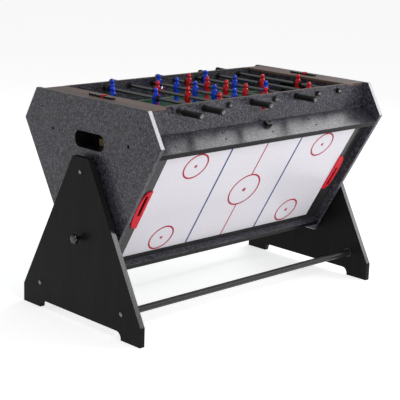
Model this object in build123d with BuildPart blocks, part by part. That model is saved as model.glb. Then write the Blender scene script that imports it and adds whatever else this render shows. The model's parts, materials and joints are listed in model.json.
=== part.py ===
from build123d import *
import os
from math import copysign, cos, radians, sin, tan

# Three-game table: table soccer, air hockey and bumper pool on the three faces of one drum that
# turns on a stand. Millimetres. X runs along the table, Y across it (air hockey faces -Y), Z up.
# The origin is on the floor, under the middle of the table.

os.makedirs("parts", exist_ok=True)

# --- driving dimensions -------------------------------------------------------------------------
running_gap = 0.05          # radial clearance of every shaft in its hole
seat_gap = 0.2              # clearance between boards that butt inside the drum

axis_z = 580.0              # height of the drum's turning axis
drum_length = 1220.0        # over the end panels
panel_t = 16.0
panel_x = drum_length / 2 - panel_t      # inner face of an end panel
rim = 265.5                 # distance of every game's rim from the axis
corner = 408.0              # distance of the drum's cut corners from the axis
trim_t = 2.0                # edging on the cut corners
wall_out = 287.0            # half width over a game's long walls

soccer, hockey, pool = 0.0, 120.0, 240.0  # turn of each game's face about the axis
soccer_wall_t, hockey_wall_t, pool_wall_t = 15.0, 22.0, 22.0

rod_pitch = 125.0
rod_height = 243.5          # above the axis
rod_count = 8
tube_r, tube_bore_r, inner_r = 6.5, 4.6, 4.5
tube_end = 261.5            # the sliding tube's inner end, when it is pushed home
grip_start, grip_end, grip_r = 291.0, 384.0, 13.0
tip_end = 390.0
bush_r, flange_r, flange_t = 10.0, 14.0, 3.0
nut_r, nut_t = 13.0, 4.0
snout_r, snout_end = 11.0, 296.0

pitch_top = 180.0           # soccer playing surface, above the axis
pitch_t = 12.0
end_wall_x, end_wall_t = 500.0, 15.0
cap_x, cap_t = 498.0, 10.0
goal_width, goal_height = 180.0, 55.0

hockey_top = 237.5
hockey_t = 6.0
pool_bed_x = 560.0          # half length of the pool bed, between its end blocks
pool_top = 222.0
pool_t = 16.0

leg_x, leg_t = 628.0, 22.0  # inner face and thickness of a leg panel
lock_r = 249.0              # the lock pins' distance from the axis
lock_pin_r = 6.0
stretcher_y, stretcher_z, stretcher_r, stretcher_bore = 240.0, 100.0, 13.0, 11.0

# Each rod: side its grip is on (-1 front, 1 back), players, spacing, how far the row of players is
# off centre when the rod is pushed home, and how far the rod is drawn out at rest.
rods = [
    (-1, 1, 0.0, 92.0, 18.0),
    (-1, 2, 253.0, 101.0, 0.0),
    (1, 3, 172.0, 69.0, 0.0),
    (-1, 5, 107.0, 20.0, 0.0),
    (1, 5, 107.0, 26.0, 0.0),
    (-1, 3, 172.0, 48.0, 0.0),
    (1, 2, 253.0, 115.0, 0.0),
    (1, 1, 0.0, 92.0, 18.0),
]
rod_x = [(i - (rod_count - 1) / 2) * rod_pitch for i in range(rod_count)]


def section(turn, x):
    """Plane across the table at x: sketch X is across the game's face, sketch Y is out of it."""
    across = (0, cos(radians(turn)), sin(radians(turn)))
    return Plane(origin=(x, 0, axis_z), x_dir=across, z_dir=(1, 0, 0))


def face(turn, height):
    """Plane parallel to a game's face: sketch X is along the table, sketch Y is across the face."""
    normal = Vector(0, -sin(radians(turn)), cos(radians(turn)))
    return Plane(origin=Vector(0, 0, axis_z) + normal * height, x_dir=(1, 0, 0), z_dir=normal)


def along_rod(x, side):
    """Plane through a rod's axis: sketch X is along the rod, sketch Y is the radius."""
    return Plane(origin=(x, 0, axis_z + rod_height), x_dir=(0, side, 0), z_dir=(1, 0, 0))


def rod_axis(x):
    """Centre line of the rod at x."""
    return Axis((x, 0, axis_z + rod_height), (0, 1, 0))


def wall_outline(side, thickness):
    """Long wall of a game, mitred below where the next game's wall meets it."""
    slope = tan(radians(30))
    inner = wall_out - thickness
    return [
        (side * wall_out, wall_out * slope),
        (side * wall_out, rim),
        (side * inner, rim),
        (side * inner, inner * slope),
    ]


def drum_outline(reach):
    """Triangle with its corners cut off at reach from the axis."""
    half = (2 * rim - reach) * tan(radians(30))
    points = []
    for direction in (-90, 30, 150):
        c, s = cos(radians(direction)), sin(radians(direction))
        points += [(reach * c + half * s, reach * s - half * c), (reach * c - half * s, reach * s + half * c)]
    return points


# --- drum: end panels and their edging ----------------------------------------------------------
hand_slot_z, hand_slot_l, hand_slot_h, hand_slot_corner = 110.0, 166.0, 62.0, 26.0
pivot_r = 8.0
for name, side in (("left_end_panel", -1), ("right_end_panel", 1)):
    with BuildPart() as end_panel:
        with BuildSketch(section(soccer, side * panel_x)):
            with BuildLine():
                Polyline(*drum_outline(corner - trim_t), close=True)
            make_face()
            Circle(pivot_r + running_gap, mode=Mode.SUBTRACT)
            with PolarLocations(lock_r, 3, start_angle=-90):
                Circle(lock_pin_r + 0.3, mode=Mode.SUBTRACT)
            with Locations((0, hand_slot_z)):
                RectangleRounded(hand_slot_l, hand_slot_h, hand_slot_corner, mode=Mode.SUBTRACT)
        extrude(amount=side * panel_t)
    end_panel.part.label = name
    export_step(end_panel.part, f"parts/{name}.step")

trim_length = 2 * (2 * rim - corner) * tan(radians(30))
with BuildPart() as edge_trims:
    for side in (-1, 1):
        with BuildSketch(section(soccer, side * panel_x)):
            with PolarLocations(corner - trim_t / 2, 3, start_angle=-90):
                Rectangle(trim_t, trim_length)
        extrude(amount=side * panel_t)
edge_trims.part.label = "edge_trims"
export_step(edge_trims.part, "parts/edge_trims.step")

# --- table soccer: walls, caps, pitch and ball returns ------------------------------------------
serve_z, serve_r = 218.0, 12.0
with BuildPart() as soccer_walls:
    for side in (-1, 1):
        with BuildSketch(section(soccer, -panel_x)):
            with BuildLine():
                Polyline(*wall_outline(side, soccer_wall_t), close=True)
            make_face()
        extrude(amount=2 * panel_x)
    with BuildSketch(Plane(origin=(0, 0, axis_z), x_dir=(1, 0, 0), z_dir=(0, -1, 0))):
        with Locations(*[(x, rod_height) for x in rod_x]):
            Circle(bush_r)
        with Locations((0, serve_z)):
            Circle(serve_r)
    extrude(amount=wall_out + panel_t, both=True, mode=Mode.SUBTRACT)
    for side in (-1, 1):
        with BuildSketch(face(soccer, rim - cap_t)):
            with Locations((side * (cap_x + panel_x) / 2, 0)):
                Rectangle(panel_x - cap_x, 2 * wall_out)
        extrude(amount=cap_t, mode=Mode.SUBTRACT)
    board_half = wall_out - soccer_wall_t - seat_gap
    board_low = pitch_top - pitch_t
    for side in (-1, 1):
        with BuildSketch(section(soccer, side * end_wall_x)):
            with Locations((0, (board_low + rim - cap_t) / 2)):
                Rectangle(2 * board_half, rim - cap_t - board_low)
            with Locations((0, pitch_top + goal_height / 2)):
                Rectangle(goal_width, goal_height, mode=Mode.SUBTRACT)
        extrude(amount=side * end_wall_t)
soccer_walls.part.label = "soccer_walls"
export_step(soccer_walls.part, "parts/soccer_walls.step")

with BuildPart() as soccer_end_caps:
    for side in (-1, 1):
        with BuildSketch(face(soccer, rim - cap_t)):
            with Locations((side * (cap_x + panel_x) / 2, 0)):
                Rectangle(panel_x - cap_x, 2 * wall_out)
        extrude(amount=cap_t)
    top_edges = soccer_end_caps.edges().group_by(Axis.Z)[-1].filter_by(Axis.Y)
    inner_edges = [edge for edge in top_edges if abs(edge.center().X) < cap_x + 1]
    fillet(inner_edges, 3)
soccer_end_caps.part.label = "soccer_end_caps"
export_step(soccer_end_caps.part, "parts/soccer_end_caps.step")

with BuildPart() as soccer_pitch:
    with BuildSketch(face(soccer, board_low)):
        Rectangle(2 * (end_wall_x - seat_gap), 2 * board_half)
    extrude(amount=pitch_t)
soccer_pitch.part.label = "soccer_pitch"
export_step(soccer_pitch.part, "parts/soccer_pitch.step")

tray_low, tray_half, tray_wall = 72.0, 96.0, 4.0
tray_high = board_low - seat_gap
tray_x = end_wall_x + end_wall_t
with BuildPart() as ball_returns:
    for side in (-1, 1):
        with BuildSketch(section(soccer, side * tray_x)):
            with Locations((0, (tray_low + tray_high) / 2)):
                Rectangle(2 * tray_half, tray_high - tray_low)
        extrude(amount=side * (panel_x - tray_x - seat_gap))
        with BuildSketch(section(soccer, side * (tray_x + tray_wall))):
            with Locations((0, (tray_low + tray_high) / 2 + tray_wall)):
                Rectangle(2 * (tray_half - tray_wall), tray_high - tray_low)
        extrude(amount=side * (panel_x - tray_x), mode=Mode.SUBTRACT)
ball_returns.part.label = "ball_returns"
export_step(ball_returns.part, "parts/ball_returns.step")

# --- rods: bushings in the walls, then inner rod, sliding tube, players, grip and stops ----------
wall_in = wall_out - soccer_wall_t
with BuildPart() as rod_bushings:
    for x, (grip_side, *_) in zip(rod_x, rods):
        for side in (-1, 1):
            on_grip_side = side == grip_side
            bore_r = (tube_r if on_grip_side else inner_r) + running_gap
            end, end_r = (wall_out + flange_t, flange_r) if on_grip_side else (snout_end, snout_r)
            with BuildSketch(along_rod(x, side)):
                with BuildLine():
                    Polyline(
                        (wall_in - nut_t, bore_r),
                        (end, bore_r),
                        (end, end_r),
                        (wall_out, end_r),
                        (wall_out, bush_r - running_gap),
                        (wall_in, bush_r - running_gap),
                        (wall_in, nut_r),
                        (wall_in - nut_t, nut_r),
                        close=True,
                    )
                make_face()
            revolve(axis=rod_axis(x))
rod_bushings.part.label = "rod_bushings"
export_step(rod_bushings.part, "parts/rod_bushings.step")

tube_bore_end, inner_end = 250.0, 240.0
collar_r, collar_start = 9.0, 263.0
inner_tip_r, inner_tip_end = 7.5, 303.0
cap_r = 9.0
man_half, stop_t, stop_r = 11.5, 7.0, 12.0
head_r, head_z, foot_z = 9.5, 31.0, -59.5
for number, (x, (grip_side, men, spacing, offset, drawn)) in enumerate(zip(rod_x, rods), start=1):
    with BuildPart() as inner_rod:
        with BuildSketch(along_rod(x, -grip_side)):
            with BuildLine():
                Polyline(
                    (-inner_end, 0),
                    (-inner_end, inner_r),
                    (collar_start, inner_r),
                    (collar_start, collar_r),
                    (wall_in - nut_t - 0.5, collar_r),
                    (wall_in - nut_t - 0.5, inner_r),
                    (snout_end + 0.3, inner_r),
                    (snout_end + 0.3, inner_tip_r),
                    (inner_tip_end - 3, inner_tip_r),
                    (inner_tip_end, inner_tip_r - 3),
                    (inner_tip_end, 0),
                    close=True,
                )
            make_face()
        revolve(axis=rod_axis(x))
    inner_rod.part.label = f"rod_{number}_inner"
    export_step(inner_rod.part, f"parts/rod_{number}_inner.step")

    with BuildPart() as rod_tube:
        with BuildSketch(along_rod(x, grip_side)):
            with BuildLine():
                Polyline(
                    (drawn - tube_end, tube_bore_r),
                    (drawn + tube_bore_end, tube_bore_r),
                    (drawn + tube_bore_end, 0),
                    (drawn + tip_end, 0),
                    (drawn + tip_end, cap_r - 3),
                    (drawn + tip_end - 3, cap_r),
                    (drawn + grip_end, cap_r),
                    (drawn + grip_end, tube_r),
                    (drawn - tube_end, tube_r),
                    close=True,
                )
            make_face()
        revolve(axis=rod_axis(x))
    rod_tube.part.label = f"rod_{number}_tube"
    export_step(rod_tube.part, f"parts/rod_{number}_tube.step")

    # Players stand on the tube, counted from its inner end.
    stations = [drawn - offset + (i - (men - 1) / 2) * spacing for i in range(men)]
    with BuildPart() as players:
        for station in stations:
            man = Plane(origin=(x, grip_side * station, axis_z + rod_height))
            with BuildSketch(man.offset(-16)):
                RectangleRounded(20, 2 * man_half, 7)
            extrude(amount=34)
            with BuildSketch(man.offset(16)):
                Circle(5)
            extrude(amount=10)
            with BuildSketch(man.offset(-48)):
                RectangleRounded(11, 15, 4)
            extrude(amount=33)
            with BuildSketch(man.offset(foot_z)):
                RectangleRounded(20, 16, 3)
            extrude(amount=12)
            with Locations((x, grip_side * station, axis_z + rod_height + head_z)):
                Sphere(head_r)
        with BuildSketch(Plane(origin=(x, 0, axis_z + rod_height), x_dir=(1, 0, 0), z_dir=(0, 1, 0))):
            Circle(tube_r + running_gap)
        extrude(amount=wall_out, both=True, mode=Mode.SUBTRACT)
    players.part.label = f"rod_{number}_players"
    export_step(players.part, f"parts/rod_{number}_players.step")

    # A rubber grip outside the wall, and a rubber stop beyond each end player.
    sleeve_r = tube_r + running_gap
    with BuildPart() as grip:
        with BuildSketch(along_rod(x, grip_side)):
            with BuildLine():
                Polyline(
                    (drawn + grip_start, sleeve_r),
                    (drawn + grip_end - seat_gap, sleeve_r),
                    (drawn + grip_end - seat_gap, grip_r - 1),
                    (drawn + grip_end - 2, grip_r),
                    (drawn + (grip_start + grip_end) / 2, grip_r - 1),
                    (drawn + grip_start + 10, grip_r),
                    (drawn + grip_start, grip_r - 3),
                    close=True,
                )
            make_face()
            for edge in (stations[0] - man_half - stop_t, stations[-1] + man_half):
                with Locations((edge + stop_t / 2, (sleeve_r + stop_r) / 2)):
                    Rectangle(stop_t - 2 * seat_gap, stop_r - sleeve_r)
        revolve(axis=rod_axis(x))
    grip.part.label = f"rod_{number}_grip_and_stops"
    export_step(grip.part, f"parts/rod_{number}_grip_and_stops.step")

# --- score counters on the end caps -------------------------------------------------------------
scale_x, scale_length, scale_width, scale_height = 552.0, 135.0, 16.0, 7.0
slider_y, slider_length, slider_gap, slider_wall = -10.0, 12.0, 0.3, 2.0
with BuildPart() as score_scales:
    for side in (-1, 1):
        with BuildSketch(face(soccer, rim)):
            with Locations((side * scale_x, 0)):
                RectangleRounded(scale_width, scale_length, 2)
        extrude(amount=scale_height)
score_scales.part.label = "score_scales"
export_step(score_scales.part, "parts/score_scales.step")

slider_half = scale_width / 2 + slider_gap
for name, side in (("left_score_slider", -1), ("right_score_slider", 1)):
    with BuildPart() as score_slider:
        middle = Plane(origin=(side * scale_x, slider_y, axis_z + rim), x_dir=(1, 0, 0), z_dir=(0, -1, 0))
        with BuildSketch(middle):
            with BuildLine():
                Polyline(
                    (-slider_half - slider_wall, slider_gap),
                    (-slider_half - slider_wall, scale_height),
                    (-slider_half, scale_height + 2 * slider_wall),
                    (slider_half, scale_height + 2 * slider_wall),
                    (slider_half + slider_wall, scale_height),
                    (slider_half + slider_wall, slider_gap),
                    (slider_half, slider_gap),
                    (slider_half, scale_height + slider_gap),
                    (-slider_half, scale_height + slider_gap),
                    (-slider_half, slider_gap),
                    close=True,
                )
            make_face()
        extrude(amount=slider_length / 2, both=True)
    score_slider.part.label = name
    export_step(score_slider.part, f"parts/{name}.step")

# --- air hockey and pool: rails -----------------------------------------------------------------
rail_sets = (
    ("hockey_rails", hockey, hockey_wall_t, None),
    ("pool_rails", pool, pool_wall_t, pool_top - pool_t),
)
for name, turn, thickness, block_low in rail_sets:
    with BuildPart() as rails:
        for side in (-1, 1):
            with BuildSketch(section(turn, -panel_x)):
                with BuildLine():
                    Polyline(*wall_outline(side, thickness), close=True)
                make_face()
            extrude(amount=2 * panel_x)
        if block_low is not None:
            for side in (-1, 1):
                with BuildSketch(face(turn, block_low)):
                    with Locations((side * (pool_bed_x + panel_x) / 2, 0)):
                        Rectangle(panel_x - pool_bed_x, 2 * (wall_out - thickness - seat_gap))
                extrude(amount=rim - block_low)
    rails.part.label = name
    export_step(rails.part, f"parts/{name}.step")

# --- air hockey: playfield, goals, blower and its switch ----------------------------------------
field_half = wall_out - hockey_wall_t - seat_gap
goal_flat_x, goal_bulge, goal_half, goal_power = 520.0, 42.0, 90.0, 0.7
puck_slot_x, puck_slot_y, puck_slot_l, puck_slot_w = 540.0, 22.0, 96.0, 14.0
lip = 3.0
slot_places = [(side * puck_slot_x, -side * puck_slot_y) for side in (-1, 1)]
with BuildPart() as hockey_playfield:
    with BuildSketch(face(hockey, hockey_top - hockey_t)):
        Rectangle(2 * (panel_x - seat_gap), 2 * field_half)
        with Locations(*slot_places):
            RectangleRounded(puck_slot_w + 2 * lip + 1, puck_slot_l + 2 * lip + 1, 7, mode=Mode.SUBTRACT)
    extrude(amount=hockey_t)
hockey_playfield.part.label = "hockey_playfield"
export_step(hockey_playfield.part, "parts/hockey_playfield.step")

goal_plate_t, puck_tray_depth = 5.0, 32.0
with BuildPart() as hockey_goals:
    for side, place in zip((-1, 1), slot_places):
        turns = [radians(90 * i / 8) for i in range(-8, 9)]
        bow = [
            (
                side * (goal_flat_x + goal_bulge * abs(cos(turn)) ** goal_power),
                goal_half * copysign(abs(sin(turn)) ** goal_power, turn),
            )
            for turn in turns
        ]
        with BuildSketch(face(hockey, hockey_top + seat_gap)):
            with BuildLine():
                Spline(*bow)
                Line(bow[-1], bow[0])
            make_face()
        extrude(amount=goal_plate_t)
        with BuildSketch(face(hockey, hockey_top - puck_tray_depth)):
            with Locations(place):
                RectangleRounded(puck_slot_w + 2 * lip, puck_slot_l + 2 * lip, 6)
        extrude(amount=puck_tray_depth + seat_gap)
        with BuildSketch(face(hockey, hockey_top - puck_tray_depth + lip)):
            with Locations(place):
                RectangleRounded(puck_slot_w, puck_slot_l, 4)
        extrude(amount=2 * puck_tray_depth, mode=Mode.SUBTRACT)
hockey_goals.part.label = "hockey_goals"
export_step(hockey_goals.part, "parts/hockey_goals.step")

plenum_x, plenum_half, plenum_wall, plenum_depth = 480.0, 220.0, 3.0, 16.0
fan_r, fan_depth, intake_r = 65.0, 46.0, 30.0  # the fan housing is closed by its motor
plenum_low = hockey_top - hockey_t - seat_gap - plenum_depth
bar_half = plenum_half - plenum_wall - seat_gap
with BuildPart() as hockey_blower:
    with BuildSketch(face(hockey, plenum_low)):
        Rectangle(2 * plenum_x, 2 * plenum_half)
        Circle(intake_r, mode=Mode.SUBTRACT)
    extrude(amount=plenum_wall)
    with BuildSketch(face(hockey, plenum_low + plenum_wall + seat_gap)):
        for side in (-1, 1):
            with Locations((0, side * (plenum_half - plenum_wall / 2))):
                Rectangle(2 * plenum_x, plenum_wall)
            with Locations((side * (plenum_x - plenum_wall / 2), 0)):
                Rectangle(plenum_wall, 2 * bar_half)
    extrude(amount=plenum_depth - plenum_wall - seat_gap)
    with BuildSketch(face(hockey, plenum_low - seat_gap - fan_depth)):
        Circle(fan_r)
    extrude(amount=fan_depth)
hockey_blower.part.label = "hockey_blower"
export_step(hockey_blower.part, "parts/hockey_blower.step")

# The switch stands on the outer face of air hockey's upper wall.
switch_x, switch_n, switch_l, switch_w, switch_h = 4.0, 191.0, 30.0, 26.0, 14.0
rocker_l, rocker_w, rocker_gap, rocker_tilt = 17.0, 11.0, 1.1, 8.0
rocker_pin_r, rocker_pin_l = 1.5, 1.4
ledge_across = (0, cos(radians(hockey)), sin(radians(hockey)))
ledge = Plane(
    origin=face(hockey, switch_n).origin + Vector(*ledge_across) * wall_out + Vector(switch_x, 0, 0),
    x_dir=(1, 0, 0),
    z_dir=ledge_across,
)
pivot = ledge.offset(switch_h - 2)
with BuildPart() as switch_box:
    with BuildSketch(ledge):
        RectangleRounded(switch_l, switch_w, 4)
    extrude(amount=switch_h, taper=4)
    with BuildSketch(ledge.offset(switch_h)):
        Rectangle(rocker_l + 2 * rocker_gap, rocker_w + 0.8)
    extrude(amount=-9, mode=Mode.SUBTRACT)
    with BuildSketch(Plane(origin=pivot.origin, x_dir=(1, 0, 0), z_dir=-pivot.y_dir)):
        Circle(rocker_pin_r + running_gap)
    extrude(amount=rocker_w / 2 + rocker_pin_l + 0.3, both=True, mode=Mode.SUBTRACT)
switch_box.part.label = "switch_box"
export_step(switch_box.part, "parts/switch_box.step")

tilted = pivot.x_dir * cos(radians(rocker_tilt)) + pivot.z_dir * sin(radians(rocker_tilt))
rocker_plane = Plane(origin=pivot.origin, x_dir=tilted, z_dir=-pivot.y_dir)
with BuildPart() as switch_rocker:
    with BuildSketch(rocker_plane):
        with BuildLine():
            Polyline(
                (-rocker_l / 2, -2.5),
                (rocker_l / 2, -2.5),
                (rocker_l / 2, 4.5),
                (0, 2.5),
                (-rocker_l / 2, 4.5),
                close=True,
            )
        make_face()
    extrude(amount=rocker_w / 2, both=True)
    with BuildSketch(rocker_plane):
        Circle(rocker_pin_r)
    extrude(amount=rocker_w / 2 + rocker_pin_l, both=True)
switch_rocker.part.label = "switch_rocker"
export_step(switch_rocker.part, "parts/switch_rocker.step")

# --- bumper pool: bed, cushions, pockets and bumper posts ---------------------------------------
pocket_x, pocket_r, pocket_wall, pocket_depth = 524.0, 28.0, 2.0, 44.0
bed_half = wall_out - pool_wall_t - seat_gap
bed_split_x = 480.0         # a separate board at each end holds the pocket
with BuildPart() as pool_bed:
    with BuildSketch(face(pool, pool_top - pool_t)):
        Rectangle(2 * bed_split_x, 2 * bed_half)
        with Locations(*[(side * (bed_split_x + pool_bed_x) / 2, 0) for side in (-1, 1)]):
            Rectangle(pool_bed_x - bed_split_x - 2 * seat_gap, 2 * bed_half)
        with Locations((-pocket_x, 0), (pocket_x, 0)):
            Circle(pocket_r, mode=Mode.SUBTRACT)
    extrude(amount=pool_t)
pool_bed.part.label = "pool_bed"
export_step(pool_bed.part, "parts/pool_bed.step")

# Cushion profile, as (distance in from the wall, height over the bed).
cushion_profile = [(0, 12), (0, 36), (22, 34), (30, 28), (24, 18)]
cushion_reach = 30.0
cushion_gap = 34.0
with BuildPart() as pool_cushions:
    for side in (-1, 1):
        with BuildSketch(section(pool, seat_gap - pool_bed_x)):
            with BuildLine():
                Polyline(*[(side * (bed_half - a), pool_top + b) for a, b in cushion_profile], close=True)
            make_face()
        extrude(amount=2 * (pool_bed_x - seat_gap))
    for side in (-1, 1):
        for half in (-1, 1):
            across = Vector(0, cos(radians(pool)), sin(radians(pool)))
            start = face(pool, pool_top).origin + across * (half * cushion_gap)
            end_plane = Plane(origin=start, x_dir=(1, 0, 0), z_dir=-across)
            with BuildSketch(end_plane):
                with BuildLine():
                    Polyline(*[(side * (pool_bed_x - seat_gap - a), b) for a, b in cushion_profile], close=True)
                make_face()
            extrude(amount=-half * (bed_half - cushion_reach - seat_gap - cushion_gap))
pool_cushions.part.label = "pool_cushions"
export_step(pool_cushions.part, "parts/pool_cushions.step")

with BuildPart() as pool_pockets:
    for side in (-1, 1):
        with BuildSketch(face(pool, pool_top - pocket_depth)):
            with Locations((side * pocket_x, 0)):
                Circle(pocket_r - running_gap)
        extrude(amount=pocket_depth)
        with BuildSketch(face(pool, pool_top - pocket_depth + pocket_wall)):
            with Locations((side * pocket_x, 0)):
                Circle(pocket_r - running_gap - pocket_wall)
        extrude(amount=pocket_depth, mode=Mode.SUBTRACT)
pool_pockets.part.label = "pool_pockets"
export_step(pool_pockets.part, "parts/pool_pockets.step")

post_r, ring_r, post_height = 8.0, 14.0, 24.0
cross = [(0, 55), (0, 110), (75, 0), (150, 0)]
posts = [(sx * a, sy * b) for a, b in cross for sx in (-1, 1) for sy in (-1, 1)]
posts += [(sx * (pocket_x - 40), sy * 62) for sx in (-1, 1) for sy in (-1, 1)]
posts = sorted(set(posts))
with BuildPart() as pool_bumpers:
    for bottom, top, radius in ((0, 6, post_r), (6, 18, ring_r), (18, post_height, post_r)):
        with BuildSketch(face(pool, pool_top + seat_gap + bottom)):
            with Locations(*posts):
                Circle(radius)
        extrude(amount=top - bottom)
pool_bumpers.part.label = "pool_bumpers"
export_step(pool_bumpers.part, "parts/pool_bumpers.step")

# --- stand: leg panels, stretchers, bolts and lock knobs ----------------------------------------
apex_half, apex_z, foot_half, side_z = 45.0, 634.0, 345.0, 72.0
arch_z, arch_corner_r, foot_inner = 30.0, 26.0, 240.0
bolt_r = 4.0
for name, side in (("left_leg_panel", -1), ("right_leg_panel", 1)):
    with BuildPart() as leg_panel:
        with BuildSketch(Plane(origin=(side * leg_x, 0, 0), x_dir=(0, 1, 0), z_dir=(1, 0, 0))):
            with BuildLine():
                Polyline(
                    (-foot_inner, arch_z),
                    (-foot_inner, 0),
                    (-foot_half, 0),
                    (-foot_half, side_z),
                    (-apex_half, apex_z),
                    (apex_half, apex_z),
                    (foot_half, side_z),
                    (foot_half, 0),
                    (foot_inner, 0),
                    (foot_inner, arch_z),
                    close=True,
                )
            leg_outline = make_face()
            arch_corners = [v for v in leg_outline.vertices() if abs(v.Y - arch_z) < 1]
            fillet(arch_corners, arch_corner_r)
            with Locations((0, axis_z), (0, axis_z - lock_r)):
                Circle(lock_pin_r + running_gap, mode=Mode.SUBTRACT)
            with Locations((-stretcher_y, stretcher_z), (stretcher_y, stretcher_z)):
                Circle(bolt_r + running_gap, mode=Mode.SUBTRACT)
        extrude(amount=side * leg_t)
    leg_panel.part.label = name
    export_step(leg_panel.part, f"parts/{name}.step")

with BuildPart() as stretcher_tubes:
    with BuildSketch(Plane(origin=(-leg_x, 0, 0), x_dir=(0, 1, 0), z_dir=(1, 0, 0))):
        with Locations((-stretcher_y, stretcher_z), (stretcher_y, stretcher_z)):
            Circle(stretcher_r)
            Circle(stretcher_bore, mode=Mode.SUBTRACT)
    extrude(amount=2 * leg_x)
stretcher_tubes.part.label = "stretcher_tubes"
export_step(stretcher_tubes.part, "parts/stretcher_tubes.step")

leg_out = leg_x + leg_t
pivot_head_r, pivot_head_t = 8.0, 4.0
pivot_profile = [
    (panel_x - 6.5, 0),
    (panel_x - 6.5, 14),
    (panel_x - 0.5, 14),
    (panel_x - 0.5, pivot_r),
    (panel_x + panel_t + 0.5, pivot_r),
    (panel_x + panel_t + 0.5, 14),
    (leg_x, 14),
    (leg_x, lock_pin_r),
    (leg_out, lock_pin_r),
    (leg_out, pivot_head_r),
    (leg_out + pivot_head_t - 2, pivot_head_r),
    (leg_out + pivot_head_t, pivot_head_r - 3),
    (leg_out + pivot_head_t, 0),
]
plug_l = 20.0
stretcher_profile = [
    (leg_x - seat_gap - plug_l, 0),
    (leg_x - seat_gap - plug_l, stretcher_bore - running_gap),
    (leg_x - seat_gap, stretcher_bore - running_gap),
    (leg_x - seat_gap, bolt_r),
    (leg_out, bolt_r),
    (leg_out, 9),
    (leg_out + 2, 9),
    (leg_out + 4.5, 5),
    (leg_out + 4.5, 0),
]
with BuildPart() as stand_bolts:
    for side in (-1, 1):
        for y, z, profile in (
            (0, axis_z, pivot_profile),
            (-stretcher_y, stretcher_z, stretcher_profile),
            (stretcher_y, stretcher_z, stretcher_profile),
        ):
            with BuildSketch(Plane(origin=(0, y, z), x_dir=(side, 0, 0), z_dir=(0, -side, 0))):
                with BuildLine():
                    Polyline(*profile, close=True)
                make_face()
            revolve(axis=Axis((0, y, z), (1, 0, 0)))
stand_bolts.part.label = "stand_bolts"
export_step(stand_bolts.part, "parts/stand_bolts.step")

lock_pin_end, knob_start, knob_end = panel_x + panel_t + 2, leg_out + 16, leg_out + 34
knob_r, lobe_r, lobes = 15.0, 5.5, 6
for name, side in (("left_lock_knob", -1), ("right_lock_knob", 1)):
    knob_plane = Plane(origin=(side * knob_start, 0, axis_z - lock_r), x_dir=(0, 1, 0), z_dir=(side, 0, 0))
    with BuildPart() as lock_knob:
        with BuildSketch(knob_plane):
            Circle(knob_r)
            with PolarLocations(knob_r - 0.5, lobes, start_angle=30):
                Circle(lobe_r)
        extrude(amount=knob_end - knob_start)
        chamfer(lock_knob.faces().sort_by(Axis.X)[-1 if side > 0 else 0].edges(), 1.5)
        with BuildSketch(knob_plane):
            Circle(9)
        extrude(amount=-3)
        with BuildSketch(knob_plane):
            Circle(lock_pin_r)
        extrude(amount=lock_pin_end - knob_start)
    lock_knob.part.label = name
    export_step(lock_knob.part, f"parts/{name}.step")
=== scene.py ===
"""Looks of a three-game table: table soccer, air hockey and bumper pool on one tumbling drum.

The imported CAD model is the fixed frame. Boards, tubes and fittings keep their CAD shape and get
rounded arrises and a finish. Players, grips, knobs, goals, posts and screws are modelled here.
"""

from __future__ import annotations

import json
import logging
import math
from dataclasses import dataclass, field
from enum import Enum
from typing import Callable, Iterable, Sequence

import bmesh
import bpy
from mathutils import Matrix, Vector


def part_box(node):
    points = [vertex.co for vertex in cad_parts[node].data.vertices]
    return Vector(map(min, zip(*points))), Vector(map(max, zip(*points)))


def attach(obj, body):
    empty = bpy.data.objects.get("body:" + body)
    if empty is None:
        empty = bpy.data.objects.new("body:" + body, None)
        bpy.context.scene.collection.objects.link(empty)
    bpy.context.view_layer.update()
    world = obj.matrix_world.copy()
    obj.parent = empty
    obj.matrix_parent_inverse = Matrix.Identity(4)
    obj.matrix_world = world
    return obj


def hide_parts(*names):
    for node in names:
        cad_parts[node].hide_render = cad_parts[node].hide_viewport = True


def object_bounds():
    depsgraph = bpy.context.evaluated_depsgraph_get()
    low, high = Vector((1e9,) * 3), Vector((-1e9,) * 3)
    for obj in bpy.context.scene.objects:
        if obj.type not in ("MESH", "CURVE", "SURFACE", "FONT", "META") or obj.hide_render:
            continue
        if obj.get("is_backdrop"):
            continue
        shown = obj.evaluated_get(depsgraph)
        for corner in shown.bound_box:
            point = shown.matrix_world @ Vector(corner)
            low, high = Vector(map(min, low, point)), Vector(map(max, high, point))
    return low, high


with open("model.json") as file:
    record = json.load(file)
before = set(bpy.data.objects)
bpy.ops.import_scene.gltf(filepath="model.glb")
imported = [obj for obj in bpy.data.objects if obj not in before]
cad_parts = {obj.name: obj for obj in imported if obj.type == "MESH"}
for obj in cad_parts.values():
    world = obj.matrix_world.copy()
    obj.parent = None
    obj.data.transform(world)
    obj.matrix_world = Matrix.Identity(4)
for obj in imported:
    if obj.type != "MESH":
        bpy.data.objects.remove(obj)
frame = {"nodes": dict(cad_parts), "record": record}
CAD_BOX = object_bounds()
LOG = logging.getLogger("games_table")
MM = 0.001
Point = tuple[float, float, float]
Ring = list[Vector]


# --- places, from the frame ---------------------------------------------------------------------
class Game(Enum):
    """The three faces of the drum, each by its turn about the drum's axis in degrees."""

    SOCCER = 0
    HOCKEY = 120
    POOL = 240


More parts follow.
